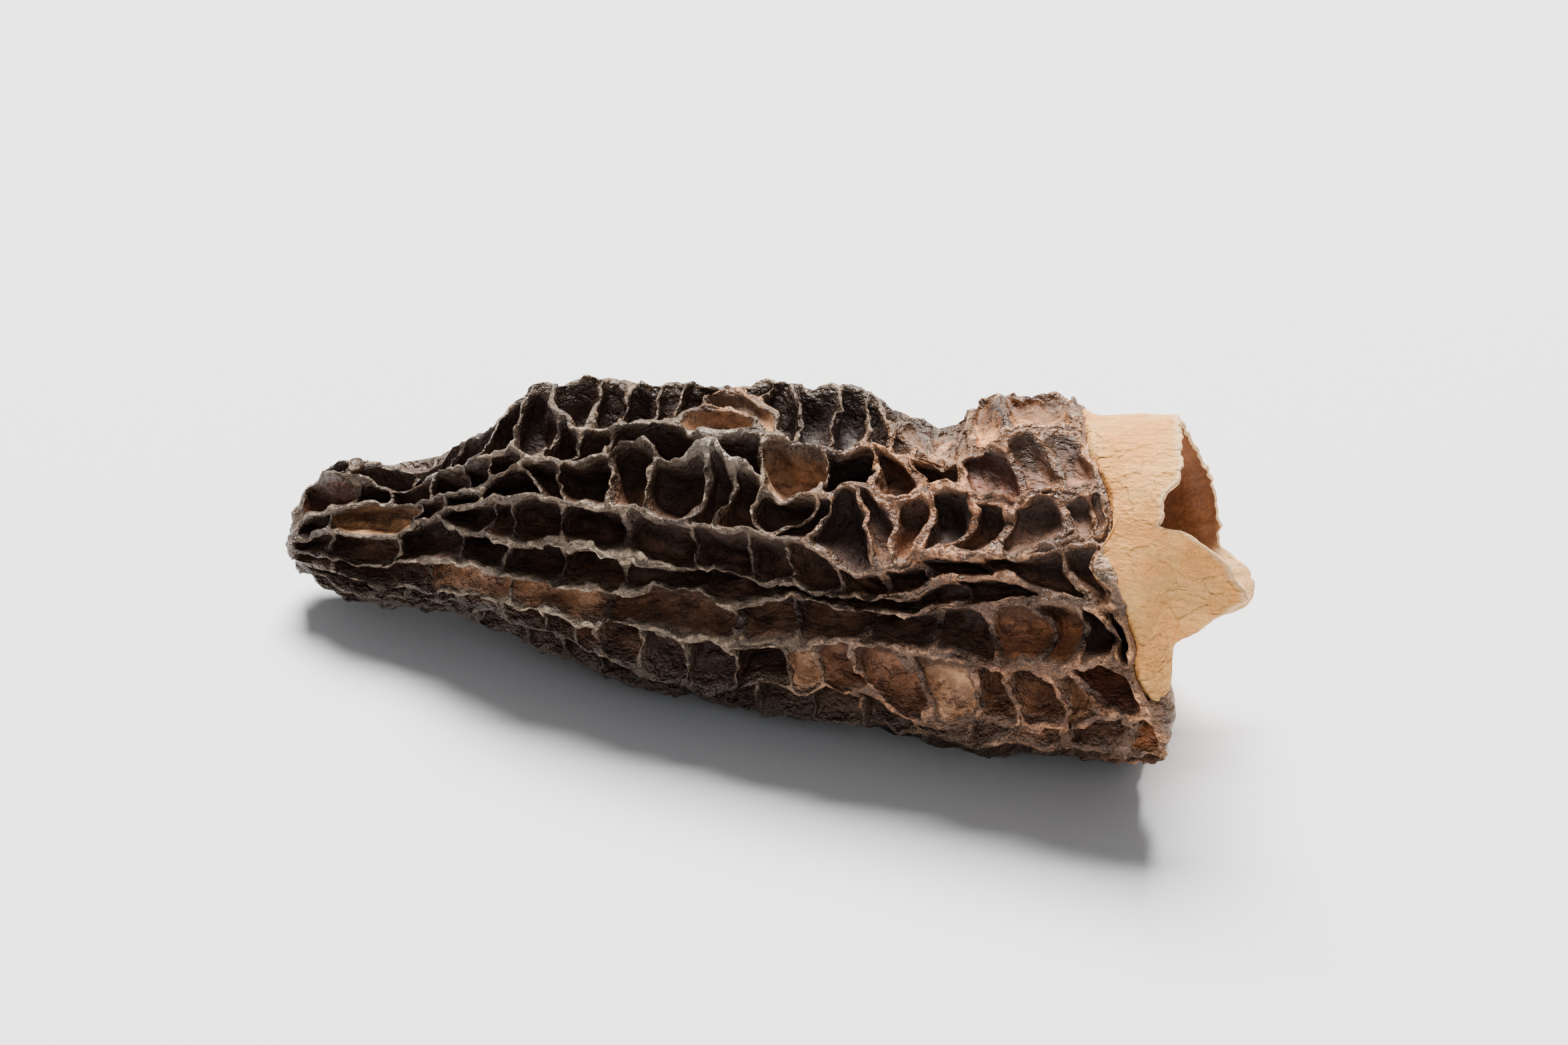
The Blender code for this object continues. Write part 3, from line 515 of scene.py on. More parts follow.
def flat_net():
    """The net in the plane of share and angle / 360: points, edges, and how low each rib point hangs."""
    points, edges, hang, numbers = [], [], {}, {}

    def number(share, angle):
        key = (round(share, 5), round(angle, 3))
        if key not in numbers:
            numbers[key] = len(points)
            points.append(Vector((share, angle / 360)))
        return numbers[key]

    def chain(places):
        line = [number(*place) for place in places]
        edges.extend(pair for pair in zip(line, line[1:]) if pair[0] != pair[1])
        return line

    joins = {name: set() for name in CRESTS}
    for pair, first, second, _ in all_ribs:
        joins[pair[0]].add(first)
        joins[pair[1]].add(second)
    for start, end, places in CRESTS.values():
        if start:
            joins[start].add(places[0][0])
        if end:
            joins[end].add(places[-1][0])

    turns = {name: (0, -360) if name == SEAM else (0,) for name in CRESTS}
    for name in CRESTS:
        for turn in turns[name]:
            chain([(share, crest_angle(name, share) + turn) for share in crest_shares(name, joins[name])])
    for pair, first, second, bow in all_ribs:
        turn = -360 if pair[0] == SEAM else 0
        start = np.array((first, crest_angle(pair[0], first) + turn))
        end = np.array((second, crest_angle(pair[1], second)))
        pull = (start + end) / 2 + np.array((2 * bow, 0))
        count = FINE_RIB_POINTS if set(pair) <= set(FINE_CRESTS) else COARSE_RIB_POINTS
        steps = [i / (count + 1) for i in range(count + 2)]
        line = chain([(1 - t) ** 2 * start + 2 * t * (1 - t) * pull + t * t * end for t in steps])
        fall = RIB_FALLS.get(pair, 1.0) * (1 + FALL_STRAY * slow_noise(31 * first, 3.7 * ord(pair[0]), 0.5))
        for t, point in zip(steps[1:-1], line[1:-1]):
            hang[point] = math.sin(math.pi * t) * fall
    for share in (FIRST_SHARE, LAST_SHARE):
        ends = sorted(
            crest_angle(name, share) + turn
            for name in CRESTS
            for turn in turns[name]
            if share in (CRESTS[name][2][0][0], CRESTS[name][2][-1][0])
        )
        ring = [ends[0]]
        for angle in ends[1:]:
            steps = max(1, math.ceil((angle - ring[-1]) / RING_STEP))
            ring += [ring[-1] + (angle - ring[-1]) * (i + 1) / steps for i in range(steps)]
        chain([(share, angle) for angle in ring])
    return points, edges, hang


net_points, net_edges, net_hang = flat_net()
net = geometry.delaunay_2d_cdt(net_points, net_edges, [], FACES_BETWEEN_LINES, SAME_POINT)
flat_points, _, pit_faces, sources, _, _ = net
print(len(pit_faces), "pits between", len(CRESTS), "crests")

# %% [markdown]
# ## Colours that follow the net
#
# On the real cap the crests are grey-tan and dusty, the pit walls nearly black in shade, and the pit floors anything
# from black to orange. Two small tables name the places that stand out. Every other pit takes its tone from slow
# noise. The underside of crests and floors is painted darker, towards black, as painted shade.

# %% Tones of crests and pit floors
TONES = {
    "black": Vector((0.014, 0.008, 0.006)),
    "dark": Vector((0.056, 0.027, 0.018)),
    "brown": Vector((0.175, 0.084, 0.046)),
    "rust": Vector((0.190, 0.064, 0.032)),
    "umber": Vector((0.270, 0.120, 0.060)),
    "tan": Vector((0.500, 0.265, 0.140)),
    "orange": Vector((0.700, 0.370, 0.180)),
    "bronze": Vector((0.350, 0.180, 0.098)),
    "grey": Vector((0.135, 0.094, 0.064)),
    "dusty": Vector((0.270, 0.196, 0.128)),
    "pale": Vector((0.540, 0.415, 0.290)),
    "ash": Vector((0.640, 0.540, 0.440)),
    "flesh": Vector((0.430, 0.175, 0.075)),
    "peach": Vector((0.780, 0.345, 0.135)),
    "cream": Vector((0.720, 0.440, 0.260)),
}
# Pits that stand out: share from and to, angle from and to, tone of the floor, and depth against the usual.
PIT_TONES = (
    (0.08, 0.16, 125, 156, "orange", 0.80),
    (0.16, 0.22, 125, 156, "brown", 0.85),
    (0.49, 0.59, 88, 104, "cream", 0.45),
    (0.60, 0.75, 76, 100, "dark", 1.00),
    (0.045, 0.10, 100, 135, "rust", 1.40),
    (0.20, 0.46, 178, 191, "bronze", 0.60),
    (0.46, 0.64, 172, 186, "brown", 0.80),
    (0.59, 0.66, 174, 184, "tan", 0.60),
    (0.59, 0.67, 107, 129, "cream", 1.10),
    (0.66, 0.73, 106, 120, "black", 1.10),
    (0.65, 0.73, 128, 152, "dark", 0.80),
    (0.71, 0.77, 128, 150, "brown", 0.60),
    (0.76, 0.81, 122, 144, "umber", 0.60),
    (0.74, 0.86, 60, 96, "tan", 0.70),
    (0.78, 0.855, 113, 132, "dark", 1.35),
    (0.81, 0.86, 130, 140, "tan", 0.70),
    (0.86, 1.00, 62, 96, "peach", 0.30),
    (0.85, 0.91, 102, 121, "rust", 0.90),
    (0.91, 1.00, 94, 121, "umber", 0.75),
    (0.73, 0.78, 99, 113, "umber", 0.90),
    (0.86, 0.91, 155, 170, "flesh", 0.65),
    (0.905, 0.955, 157, 173, "flesh", 0.80),
    (0.95, 1.00, 150, 172, "dark", 1.05),
    (0.92, 1.00, 170, 189, "rust", 1.10),
    (0.90, 0.95, 178, 191, "tan", 0.80),
    (0.82, 0.90, 176, 206, "umber", 1.00),
    (0.94, 1.00, 188, 216, "flesh", 0.95),
    (0.85, 0.90, 200, 214, "flesh", 0.90),
    (0.76, 0.83, 177, 205, "tan", 0.65),
    (0.72, 0.76, 178, 204, "umber", 0.80),
    (0.68, 0.72, 182, 198, "umber", 0.80),
    (0.64, 0.68, 178, 202, "tan", 0.60),
)
# Crests that stand out: share, angle, half-length and half-angle of the patch, tone, and strength.
CREST_TONES = (
    (0.03, 150, 0.06, 60, "grey", 0.9),
    (0.14, 140, 0.14, 60, "grey", 0.8),
    (0.30, 177, 0.14, 5, "pale", 0.6),
    (0.33, 192, 0.12, 6, "pale", 0.8),
    (0.55, 168, 0.10, 5, "dusty", 0.9),
    (0.33, 95, 0.05, 12, "dusty", 0.9),
    (0.54, 88, 0.05, 10, "peach", 0.7),
    (0.43, 158, 0.07, 7, "pale", 0.9),
    (0.53, 113, 0.03, 8, "ash", 1.0),
    (0.80, 130, 0.12, 26, "flesh", 0.85),
    (0.78, 100, 0.07, 22, "peach", 0.75),
    (0.92, 82, 0.09, 26, "peach", 0.62),
    (0.92, 120, 0.07, 20, "flesh", 0.9),
    (0.74, 195, 0.09, 20, "flesh", 0.6),
    (0.90, 185, 0.10, 34, "flesh", 0.8),
    (0.99, 155, 0.018, 90, "peach", 0.7),
    (0.96, 228, 0.08, 12, "flesh", 0.8),
)
print(len(PIT_TONES), "kinds of pit floor and", len(CREST_TONES), "patches on the crests")


# %% The tone of any pit and any crest
def painted_underside_shade(share, angle):
    """Painted shade: 1 on the underside, which faces away from the light, and 0 on the rest and towards the base."""
    return ease(190, 218, angle % 360) * (1 - ease(0.7, 0.85, share))


def plain_floor(share, angle):
    """An unremarkable pit: mostly dark, browner here and there and towards the base, with painted shade underneath.
    """
    chance = 0.5 + slow_noise(9 * share, angle / 17, 2.5) + 0.5 * ease(0.55, 0.95, share)
    tone = TONES["dark"].lerp(TONES["brown"], min(max(chance, 0), 1))
    # Painted shade: towards black on the underside
    return tone.lerp(TONES["black"], 0.7 * painted_underside_shade(share, angle))


def pit_finish(share, angle):
    """Tone of a pit's floor and the factor of its depth."""
    for low, high, start, end, tone, depth in PIT_TONES:
        if low <= share <= high and start <= angle % 360 <= end:
            return TONES[tone], depth
    return plain_floor(share, angle), 1.0


def crest_tone(share, angle):
    """Tone of a crest: grey-tan with painted shade underneath, and the patches of the table blended over it."""
    tone = TONES["grey"].lerp(TONES["dusty"], 0.5 + 0.5 * slow_noise(14 * share, angle / 9, 8))
    # Painted shade: towards black on the underside
    tone = tone.lerp(TONES["black"], 0.8 * painted_underside_shade(share, angle))
    for *patch, name, strength in CREST_TONES:
        tone = tone.lerp(TONES[name], strength * nearness(share, angle, patch))
    return tone


print("the middle of the top crest is", [round(value, 3) for value in crest_tone(0.5, crest_angle("a", 0.5))])

# %% [markdown]
# ## The lining of the hollow
#
# Before the pits are sunk, the hollow has to be known, because no pit may break through into it. The lining
# starts at the inner edge of the torn rim, runs in under the cap and closes at a blind end. In the cap it lies a
# little inside the hollow's own walls, clear of the lowest folds of the pits' floors.

# %% Rings of the lining and the hollow's walls
AROUND = 300
ANGLES = [360 * i / AROUND for i in range(AROUND)]
# How thick the stem's wall is at the torn rim, in mm, and from which way on it thins
TORN_WALL = 0.32
THINS_FROM = 0.75
# The lining of the stem: its rings, how far back along the stem they reach, and how deep the last one counts
THROAT_RINGS = 16
THROAT_LENGTH = 0.6
THROAT_DEEP = 0.25
HOLLOW_RINGS = 46
# How far inside the hollow's walls the lining lies, in mm, and over which part of the hollow it gets there
PITS_CLEAR = 0.65
CLEAR_WITHIN = 0.2


def wall_inward(way):
    """The stem's wall thins towards its torn edge."""
    return STEM_WALL + (TORN_WALL - STEM_WALL) * ease(THINS_FROM, 1.0, way)


def lining_rings(inward):
    """Rings of points from the inner edge of the torn rim to the blind end, each with how deep inside it is."""
    rings = []
    for i in range(THROAT_RINGS):
        way = 1.0 - THROAT_LENGTH * i / (THROAT_RINGS - 1)
        points = [stem_point(way, angle, wall_inward(way)) for angle in ANGLES]
        rings.append((points, THROAT_DEEP * (1 - way) / THROAT_LENGTH))
    deep, shallow = HOLLOW_FORM[-1][0], HOLLOW_FORM[0][0]
    for i in range(HOLLOW_RINGS):
        part = (i + 1) / HOLLOW_RINGS
        along = shallow + (deep - shallow) * math.sin(part * math.pi / 2)
        clear = inward * ease(0, CLEAR_WITHIN, part)
        points = [hollow_point(along, angle, clear) for angle in ANGLES]
        rings.append((points, THROAT_DEEP + (1 - THROAT_DEEP) * part))
    return rings


def ring_quads(outer, inner):
    """The corners of the quads between two closed rings of the same number of points."""
    turned = list(range(1, len(outer))) + [0]
    return [(outer[i], outer[j], inner[j], inner[i]) for i, j in enumerate(turned)]


lining = lining_rings(PITS_CLEAR)
walls = lining_rings(0.0)
wall_verts = [point for ring, _ in walls for point in ring]
numbered = [range(r * AROUND, (r + 1) * AROUND) for r in range(len(walls))]
wall_faces = [quad for outer, inner in zip(numbered, numbered[1:]) for quad in ring_quads(outer, inner)]
hollow_tree = bvhtree.BVHTree.FromPolygons(wall_verts, wall_faces)
print("hollow lined with", len(lining), "rings")

# %% [markdown]
# ## How thick and how high the crests are
#
# A dried crest is a thin edge that swells into knots and drops into notches. A table names the swollen places
# that can be told apart, and slow noise varies the rest. Near the base every crest is fuller, with a furrow along
# its top.

# %% Swollen places, notches and furrows
# Half the thickness of a thin crest and of a full one, in mm, and what is left of it on a rib
THIN_CREST = 0.17
FULL_CREST = 0.34
RIB_THINNING = 0.6
# How deep a notch falls and how deep a furrow lies, in mm
NOTCH = 0.8
FURROW = 0.3
# A notch falls where the noise is above this level, and along the near side it falls less by this part
NOTCH_LEVEL = 0.05
NEAR_SIDE_CALM = 0.75
# How much a crest's thickness varies, and the least that it varies to
WIDTH_STRAY = 1.5
LEAST_WIDTH = 0.55

# Swollen places: share, angle, half-length, half-angle, how full the crests are there, and how far they rise in mm.
LUMPS = (
    (0.33, 95, 0.02, 8, 0.8, 0.2),
    (0.54, 85, 0.04, 6, 1.6, 0.4),
    (0.53, 113, 0.026, 6, 2.6, 0.8),
    (0.43, 158, 0.06, 5, 2.4, 0.3),
    (0.36, 120, 0.03, 6, 0.7, 0.2),
    (0.62, 178, 0.05, 6, 0.7, 0.1),
    (0.93, 78, 0.06, 16, 2.0, 0.3),
    (0.985, 60, 0.016, 7, 1.6, 1.2),
    (0.95, 72, 0.016, 6, 1.4, 0.9),
    (0.89, 68, 0.02, 8, 1.4, 0.5),
    (0.80, 108, 0.07, 8, 0.8, 0.1),
    (0.99, 150, 0.02, 90, 0.6, 0.1),
    (0.97, 230, 0.04, 12, 1.0, 0.5),
    (0.62, 182, 0.12, 4, 0.9, 0.0),
    (0.70, 163, 0.10, 4, 0.9, 0.0),
    (0.42, 101, 0.06, 6, 0.9, 0.0),
    (0.59, 105, 0.05, 6, 1.0, 0.1),
    (0.48, 141, 0.06, 4, 0.8, 0.0),
    (0.28, 120, 0.04, 6, 0.7, 0.1),
    (0.05, 145, 0.03, 50, 0.9, 0.2),
    (0.085, 98, 0.020, 18, 1.2, 1.3),
    (0.150, 98, 0.025, 18, 0.0, -0.5),
    (0.035, 172, 0.02, 24, 1.4, 0.6),
    (0.03, 120, 0.012, 16, 1.2, 0.5),
)


def fullness(share, angle):
    """How full a crest is: 0 for a thin edge, 1 for the rounded crests near the base, more on the lumps."""
    full = ease(0.66, 0.80, share) * ease(60, 90, angle % 360)
    for *patch, fuller, _ in LUMPS:
        full += fuller * nearness(share, angle, patch)
    return full


def crest_rise(share, angle):
    """How far the crest stands out of the form, in mm: lumps rise, notches fall, but less along the near side."""
    rise = 0
    for *patch, _, height in LUMPS:
        rise += height * nearness(share, angle, patch)
    straight = ease(146, 154, angle % 360) * ease(198, 190, angle % 360)
    return rise - NOTCH * (1 - NEAR_SIDE_CALM * straight) * max(round_noise(share, angle, 30, 5.5) - NOTCH_LEVEL, 0)


def furrowed(share, angle):
    """Where a crest's own line is sunk between two edges: 0 or nearly 1, by slow noise."""
    broad = min(fullness(share, angle), 1)
    return broad * ease(-0.15, 0.10, slow_noise(22 * share, angle / 8, 6.5))


def crest_half_width(share, angle, hang):
    """Half the thickness of the crest at one place. A rib that hangs is thinner."""
    vary = max(1 + WIDTH_STRAY * slow_noise(40 * share, angle / 5, 4), LEAST_WIDTH)
    width = (THIN_CREST + (FULL_CREST - THIN_CREST) * fullness(share, angle)) * vary
    return width * (1 - (1 - RIB_THINNING) * min(hang, 1))


print(len(LUMPS), "swollen places, and the tallest is", max(row[-1] for row in LUMPS), "mm high")

# %% [markdown]
# ## The cap's cage
#
# Each pit is drawn in from the crest lines in a few rings: over the crest, down its wall and across its floor.
# The cage stays on the form's surface. Every point only carries how far it is to sink and in which direction, so
# that the depth of all pits can be set in one place later. Inner rings are rounded off, because dried pits have
# no corners.

# %% Loops of points
def centre_of(corners):
    return sum(corners, Vector()) / len(corners)


def middle_line(corners):
    """The centre of a pit, and for each corner the nearest point on the line down the pit's middle."""
    centre = centre_of(corners)
    ways = [corner - centre for corner in corners]
    lengthwise = max(ways, key=lambda way: way.length).normalized()
    half_length = max(abs(way.dot(lengthwise)) for way in ways)
    half_width = max((way - lengthwise * way.dot(lengthwise)).length for way in ways)
    straight = max(half_length - half_width, 0)
    return centre, [centre + lengthwise * min(max(way.dot(lengthwise), -straight), straight) for way in ways]


def rounded(loop, times):
    """A closed loop of points, each moved towards its neighbours a number of times."""
    for _ in range(times):
        loop = [(loop[i - 1] + 2 * loop[i] + loop[(i + 1) % len(loop)]) / 4 for i in range(len(loop))]
    return loop


def breadth_of(corners):
    """How broad a closed loop of points is: twice its area over its length."""
    centre = centre_of(corners)
    sides = list(zip(corners, corners[1:] + corners[:1]))
    area = sum(((a - centre).cross(b - centre)).length for a, b in sides) / 2
    return 2 * area / sum((a - b).length for a, b in sides)


def to_frame(point):
    return (point - MIDDLE / MM) * MM


print("the tip stands at", [round(value / MM, 2) for value in to_frame(cap_point(0.0, 0))], "mm in the frame")


# %% The cage
def finished_mesh(bm, name):
    """A mesh of what was built, with its faces turned outwards."""
    bmesh.ops.recalc_face_normals(bm, faces=bm.faces)
    mesh = bpy.data.meshes.new(name)
    bm.to_mesh(mesh)
    bm.free()
    return mesh


class Cage:
    """The cap's cage while it is built: points with what they carry, and faces."""

    def __init__(self):
        self.bm = bmesh.new()
        layers = self.bm.verts.layers
        self.down = layers.float_vector.new("down")
        self.sunk = layers.float.new("sunk")
        self.free = layers.float.new("free")
        self.floor = layers.float_color.new("floor_tone")
        self.crest = layers.float_color.new("crest_tone")

    def point(self, place, sunk=0.0, depth=0.0, floor=(0, 0, 0), crest=(0, 0, 0)):
        vert = self.bm.verts.new(to_frame(place))
        vert[self.down] = to_axis(place).normalized() * depth * MM
        vert[self.sunk] = sunk
        vert[self.free] = 1.0
        vert[self.floor] = (*floor, 1)
        vert[self.crest] = (*crest, 1)
        return vert

    def band(self, outer, inner):
        """Quads between two closed loops of the same number of points. Returns the inner one."""
        for quad in ring_quads(outer, inner):
            self.bm.faces.new(quad)
        return inner


cage = Cage()
print("the cage carries", ", ".join(cage.bm.verts.layers.float.keys()), "and two tones")

# %% Points along the crests
# How dark a rib's edge already is where it hangs by 1, and how dark a furrow is, as shares of the depth. Both
# are painted shade, down in a pit and in a furrow
RIB_DARKENING = 0.03
FURROW_DARKENING = 0.14
# How far the edge of a rib that hangs low goes towards the dark tone, as painted shade down in the pit
RIB_PAINTED_SHADE = 0.75


def edge_tone(share, angle, hang):
    """Tone of a crest's or a rib's edge. A rib that hangs low gets painted shade."""
    return crest_tone(share, angle).lerp(TONES["dark"], RIB_PAINTED_SHADE * ease(0.4, 2.0, hang))


placed = {}
spots = []
for (share, turn), source in zip(flat_points, sources):
    angle = turn * 360
    hang = max((net_hang.get(number, 0) for number in source), default=0)
    key = (round(share, 4), round(angle % 360, 2))
    if key not in placed:
        furrow = furrowed(share, angle) * (1 - min(hang, 1))
        low = RIB_DROP * hang - crest_rise(share, angle)
        line = cap_point(share, angle, low + FURROW * furrow)
        sunk = RIB_DARKENING * hang + FURROW_DARKENING * furrow
        vert = cage.point(line, sunk=sunk, crest=edge_tone(share, angle, hang))
        placed[key] = cap_point(share, angle, low), vert
    spots.append((share, angle, hang, *placed[key]))
print(len(placed), "points on the crests and ribs")

# %% Draw the pits in
# Rings of a pit, from the crest to the middle of its floor: crest half-widths out from the crest line, then part of
# the way left and share of the depth, each beside a thin and beside a full crest, and how often it is rounded.
PIT_RINGS = (
    (0.60, 0.00, 0.00, 0.015, 0.01, 0),
    (1.00, 0.00, 0.02, 0.10, 0.06, 0),
    (1.02, 0.00, 0.06, 0.25, 0.18, 1),
    (0.98, 0.03, 0.13, 0.56, 0.42, 2),
    (0.98, 0.11, 0.25, 0.85, 0.74, 4),
    (0.98, 0.30, 0.44, 0.97, 0.94, 6),
    (0.98, 0.64, 0.72, 1.00, 1.00, 5),
)
# A pit narrower than this, in mm, isn't sunk
LEAST_PIT = 0.16
# How deep a pit may be, against its breadth and against the way to the axis
DEPTH_TO_BREADTH = 1.7
DEPTH_TO_AXIS = 0.4
# A crest takes up at most this part of the way to the middle of the pit
CREST_SHARE = 0.3
# Painted light and shade on a pit's floor: how much paler it is at its lower side, where the light falls,
# and how far it goes to black at its upper side, in the shade of the crest above
PAINTED_LIGHT_BELOW = 0.5
PAINTED_SHADE_ABOVE = 0.7
# Between these angles a greater angle lies lower
LOWER_BETWEEN = (60, 270)


def draw_pit(outline):
    """Sink one pit. The outline is its spots: share, angle, hang, place and point of the cage."""
    shares, angles, hangs, corners, outer = map(list, zip(*outline))
    centre, targets = middle_line(corners)
    breadth = breadth_of(corners)
    tone, deeper = pit_finish(sum(shares) / len(shares), sum(angles) / len(angles))
    room = min(hollow_tree.find_nearest(place)[3] for place in (centre, *targets)) - LEAST_WALL
    to_middle = DEPTH_TO_AXIS * to_axis(centre).length
    depth = min(DEPTH_TO_BREADTH * breadth * deeper, PIT_DEPTH * deeper, room, to_middle)
    if breadth < LEAST_PIT:
        depth = 0.0
    middle_angle, half_span = (max(angles) + min(angles)) / 2, (max(angles) - min(angles)) / 2
    downwards = 1 if LOWER_BETWEEN[0] < middle_angle % 360 < LOWER_BETWEEN[1] else -1
    widths = [crest_half_width(*spot) for spot in zip(shares, angles, hangs)]
    fulls = [min(fullness(share, angle), 1) for share, angle in zip(shares, angles)]
    for out, thin_part, full_part, thin_sunk, full_sunk, roundings in PIT_RINGS:
        loop = []
        for corner, target, width, full in zip(corners, targets, widths, fulls):
            reach = (target - corner).length
            part = thin_part + (full_part - thin_part) * full
            over_crest = min(out * width, CREST_SHARE * reach * out)
            step = over_crest + part * (reach - over_crest)
            loop.append(corner + (target - corner).normalized() * step)
        inner = []
        for place, share, angle, hang, full in zip(rounded(loop, roundings), shares, angles, hangs, fulls):
            part_sunk = thin_sunk + (full_sunk - thin_sunk) * full
            sunk = max(part_sunk, RIB_DARKENING * hang)
            # Painted light on the floor's lower side and painted shade on its upper side
            lower = (angle - middle_angle) / half_span * downwards
            floor_tone = tone.lerp(TONES["black"], PAINTED_SHADE_ABOVE * ease(0.3, -0.7, lower))
            floor_tone = floor_tone * (1 + PAINTED_LIGHT_BELOW * max(lower, 0))
            inner.append(cage.point(place, sunk, depth * part_sunk, floor_tone, edge_tone(share, angle, hang)))
        outer = cage.band(outer, inner)
    cage.bm.faces.new(outer)


for face in pit_faces:
    draw_pit(list({spots[i][4]: spots[i] for i in face}.values()))
print(len(cage.bm.verts), "points in the cap's cage")

# %% [markdown]
# The net ends in two open rings. The one at the tip is drawn together over the fused crests there. The one at the
# base is turned in as a thin lip, which the stem comes out from under. Underneath, where the stem is torn off
# short, and in a tongue on the near side, the cap's flesh spreads up over the stem's funnel.

# %% Close the tip
TIP_SHARES = (0.034, 0.024, 0.014, 0.006)
# Shares closer than this are the same
SAME_SHARE = 1e-4


def end_ring(share):
    """The angles and cage points of the net's points at one end, in the order of their angles."""
    ring = {round(spot[1] % 360, 2): (spot[1], spot[4]) for spot in spots if abs(spot[0] - share) < SAME_SHARE}
    return zip(*(ring[angle] for angle in sorted(ring)))


tip_angles, outer = end_ring(FIRST_SHARE)
for share in TIP_SHARES:
    inner = []
    for angle in tip_angles:
        place = cap_point(share, angle, -crest_rise(share, angle))
        inner.append(cage.point(place, crest=crest_tone(share, angle)))
    outer = cage.band(outer, inner)
cage.bm.faces.new(outer)
print("tip closed over", len(tip_angles), "points")

# %% Turn the base edge in
# The lip: how far round it each ring lies, from 0 to 1, and how dark it is, as painted shade where it turns in.
LIP_RINGS = ((0.1, 0.02), (0.22, 0.05), (0.36, 0.12), (0.5, 0.2), (0.65, 0.3), (0.82, 0.4), (1.0, 0.6))
# How far the narrow roll goes in under the edge and how far it swells along X, in mm
LIP_REACH = 0.55
LIP_OUT = 0.22
# The spread flesh: part of the stem that it covers, and how far it swells along X and outwards and ends back, in mm
SPREAD_WAY = 0.30
SPREAD_OUT = 0.45
SPREAD_THICK = 0.28
SPREAD_BACK = 0.2
# The tongue: its angle, half-angle and share of the full spread, and how soon it is as pale as the stem
TONGUE_ANGLE = 143.5
TONGUE_HALF_ANGLE = 9
TONGUE_SPREAD = 0.6
TONGUE_PALENESS = 1.7


def flesh_spread(angle):
    """How much the tongue has of the spread flesh at one angle, and how far the flesh spreads in all."""
    tongue = TONGUE_SPREAD * math.exp(-((angle_apart(angle, TONGUE_ANGLE) / TONGUE_HALF_ANGLE) ** 2))
    return tongue, max(ease(172, 216, angle % 360) * ease(350, 320, angle % 360), tongue)


base_angles, outer = end_ring(LAST_SHARE)
for part, sunk in LIP_RINGS:
    inner = []
    out = math.sin(math.pi * part)
    for angle in base_angles:
        tongue, spread = flesh_spread(angle)
        roll = cap_point(LAST_SHARE, angle, LIP_REACH * part) + Vector((LIP_OUT * out, 0, 0))
        flesh = stem_point(SPREAD_WAY * spread * part, angle, -SPREAD_THICK * out * spread)
        flesh += Vector((SPREAD_OUT * out - SPREAD_BACK * part, 0, 0))
        place = roll.lerp(flesh, ease(0, 0.2, spread))
        paler = max(ease(0.15, 1.0, part) * spread, ease(0.0, 0.4, part) * min(TONGUE_PALENESS * tongue, 1))
        floor_tone = TONES["umber"].lerp(TONES["cream"], paler)
        outer_tone = crest_tone(LAST_SHARE, angle).lerp(TONES["cream"], paler)
        inner.append(cage.point(place, sunk, floor=floor_tone, crest=outer_tone))
    outer = cage.band(outer, inner)
cap_mesh = finished_mesh(cage.bm, "cap_skin")
print("cap cage:", len(cap_mesh.polygons), "faces")

# %% [markdown]
# ## The stem stub
#
# The stem's outside starts hidden under the cap's lip, narrows in a short funnel and ends in the torn rim. The
# torn edge is nibbled and paper-thin. A `torn` value near the rim lets the finish go paler there. The lining
# reuses the rings made above, so the two skins meet point for point at the inner edge.

# %% Stem and lining meshes
STEM_WAYS = (
    0.0, 0.03, 0.06, 0.09, 0.12, 0.16, 0.2, 0.24, 0.28, 0.33, 0.38, 0.44, 0.5, 0.56, 0.62, 0.68, 0.74, 0.8, 0.85,
    0.89, 0.92, 0.95, 0.975, 0.99, 1.0,
)
# How far the stem's foot lies inside the cap's edge, so that no fold of the lip lays it bare, in mm, and over which
# part of the stem it comes out to its own width
FOOT_HIDDEN = 0.45
FOOT_WAY = 0.1
# How far the middle of the torn edge stands beyond its two sides, in mm
TORN_CROWN = 0.06


def tube_mesh(name, rings, value_name, closed=False):
    """A skin through rings of points. Each ring has its points, and a value and a freedom that they carry."""
    bm = bmesh.new()
    value_layer = bm.verts.layers.float.new(value_name)
    free_layer = bm.verts.layers.float.new("free")
    rows = []
    for points, value, free in rings:
        row = [bm.verts.new(to_frame(point)) for point in points]
        for vert in row:
            vert[value_layer] = value
            vert[free_layer] = free
        rows.append(row)
    for outer, inner in zip(rows, rows[1:]):
        for quad in ring_quads(outer, inner):
            bm.faces.new(quad)
    if closed:
        bm.faces.new(rows[-1])
    return finished_mesh(bm, name)


stem_rings = []
for way in STEM_WAYS:
    hidden = FOOT_HIDDEN * (1 - ease(0.0, FOOT_WAY, way))
    points = [stem_point(way, angle, hidden) for angle in ANGLES]
    stem_rings.append((points, ease(0.9, 1.0, way), ease(0.0, 0.06, way)))
inner_edge = lining[0][0]
crown = [(a + b) / 2 + Vector((TORN_CROWN, 0, 0)) for a, b in zip(stem_rings[-1][0], inner_edge)]
stem_rings += [(crown, 1.0, 0.5), (inner_edge, 1.0, 0.0)]
stem_mesh = tube_mesh("stem_skin", stem_rings, "torn")

deep_rings = [(points, deep, ease(0.0, 0.05, deep)) for points, deep in lining]
lining_mesh = tube_mesh("hollow_lining", deep_rings, "deep", closed=True)
lining_mesh.flip_normals()
print("stem", len(stem_mesh.polygons), "and lining", len(lining_mesh.polygons), "faces")

# %% [markdown]
# ## Node helpers
#
# Both the surface relief and the finishes are node trees. One helper adds a node with its settings and inputs,
# and links an input when it is handed another node's socket. The others add what comes back most: sums on numbers
# and on vectors, and a tree with named inputs and outputs.

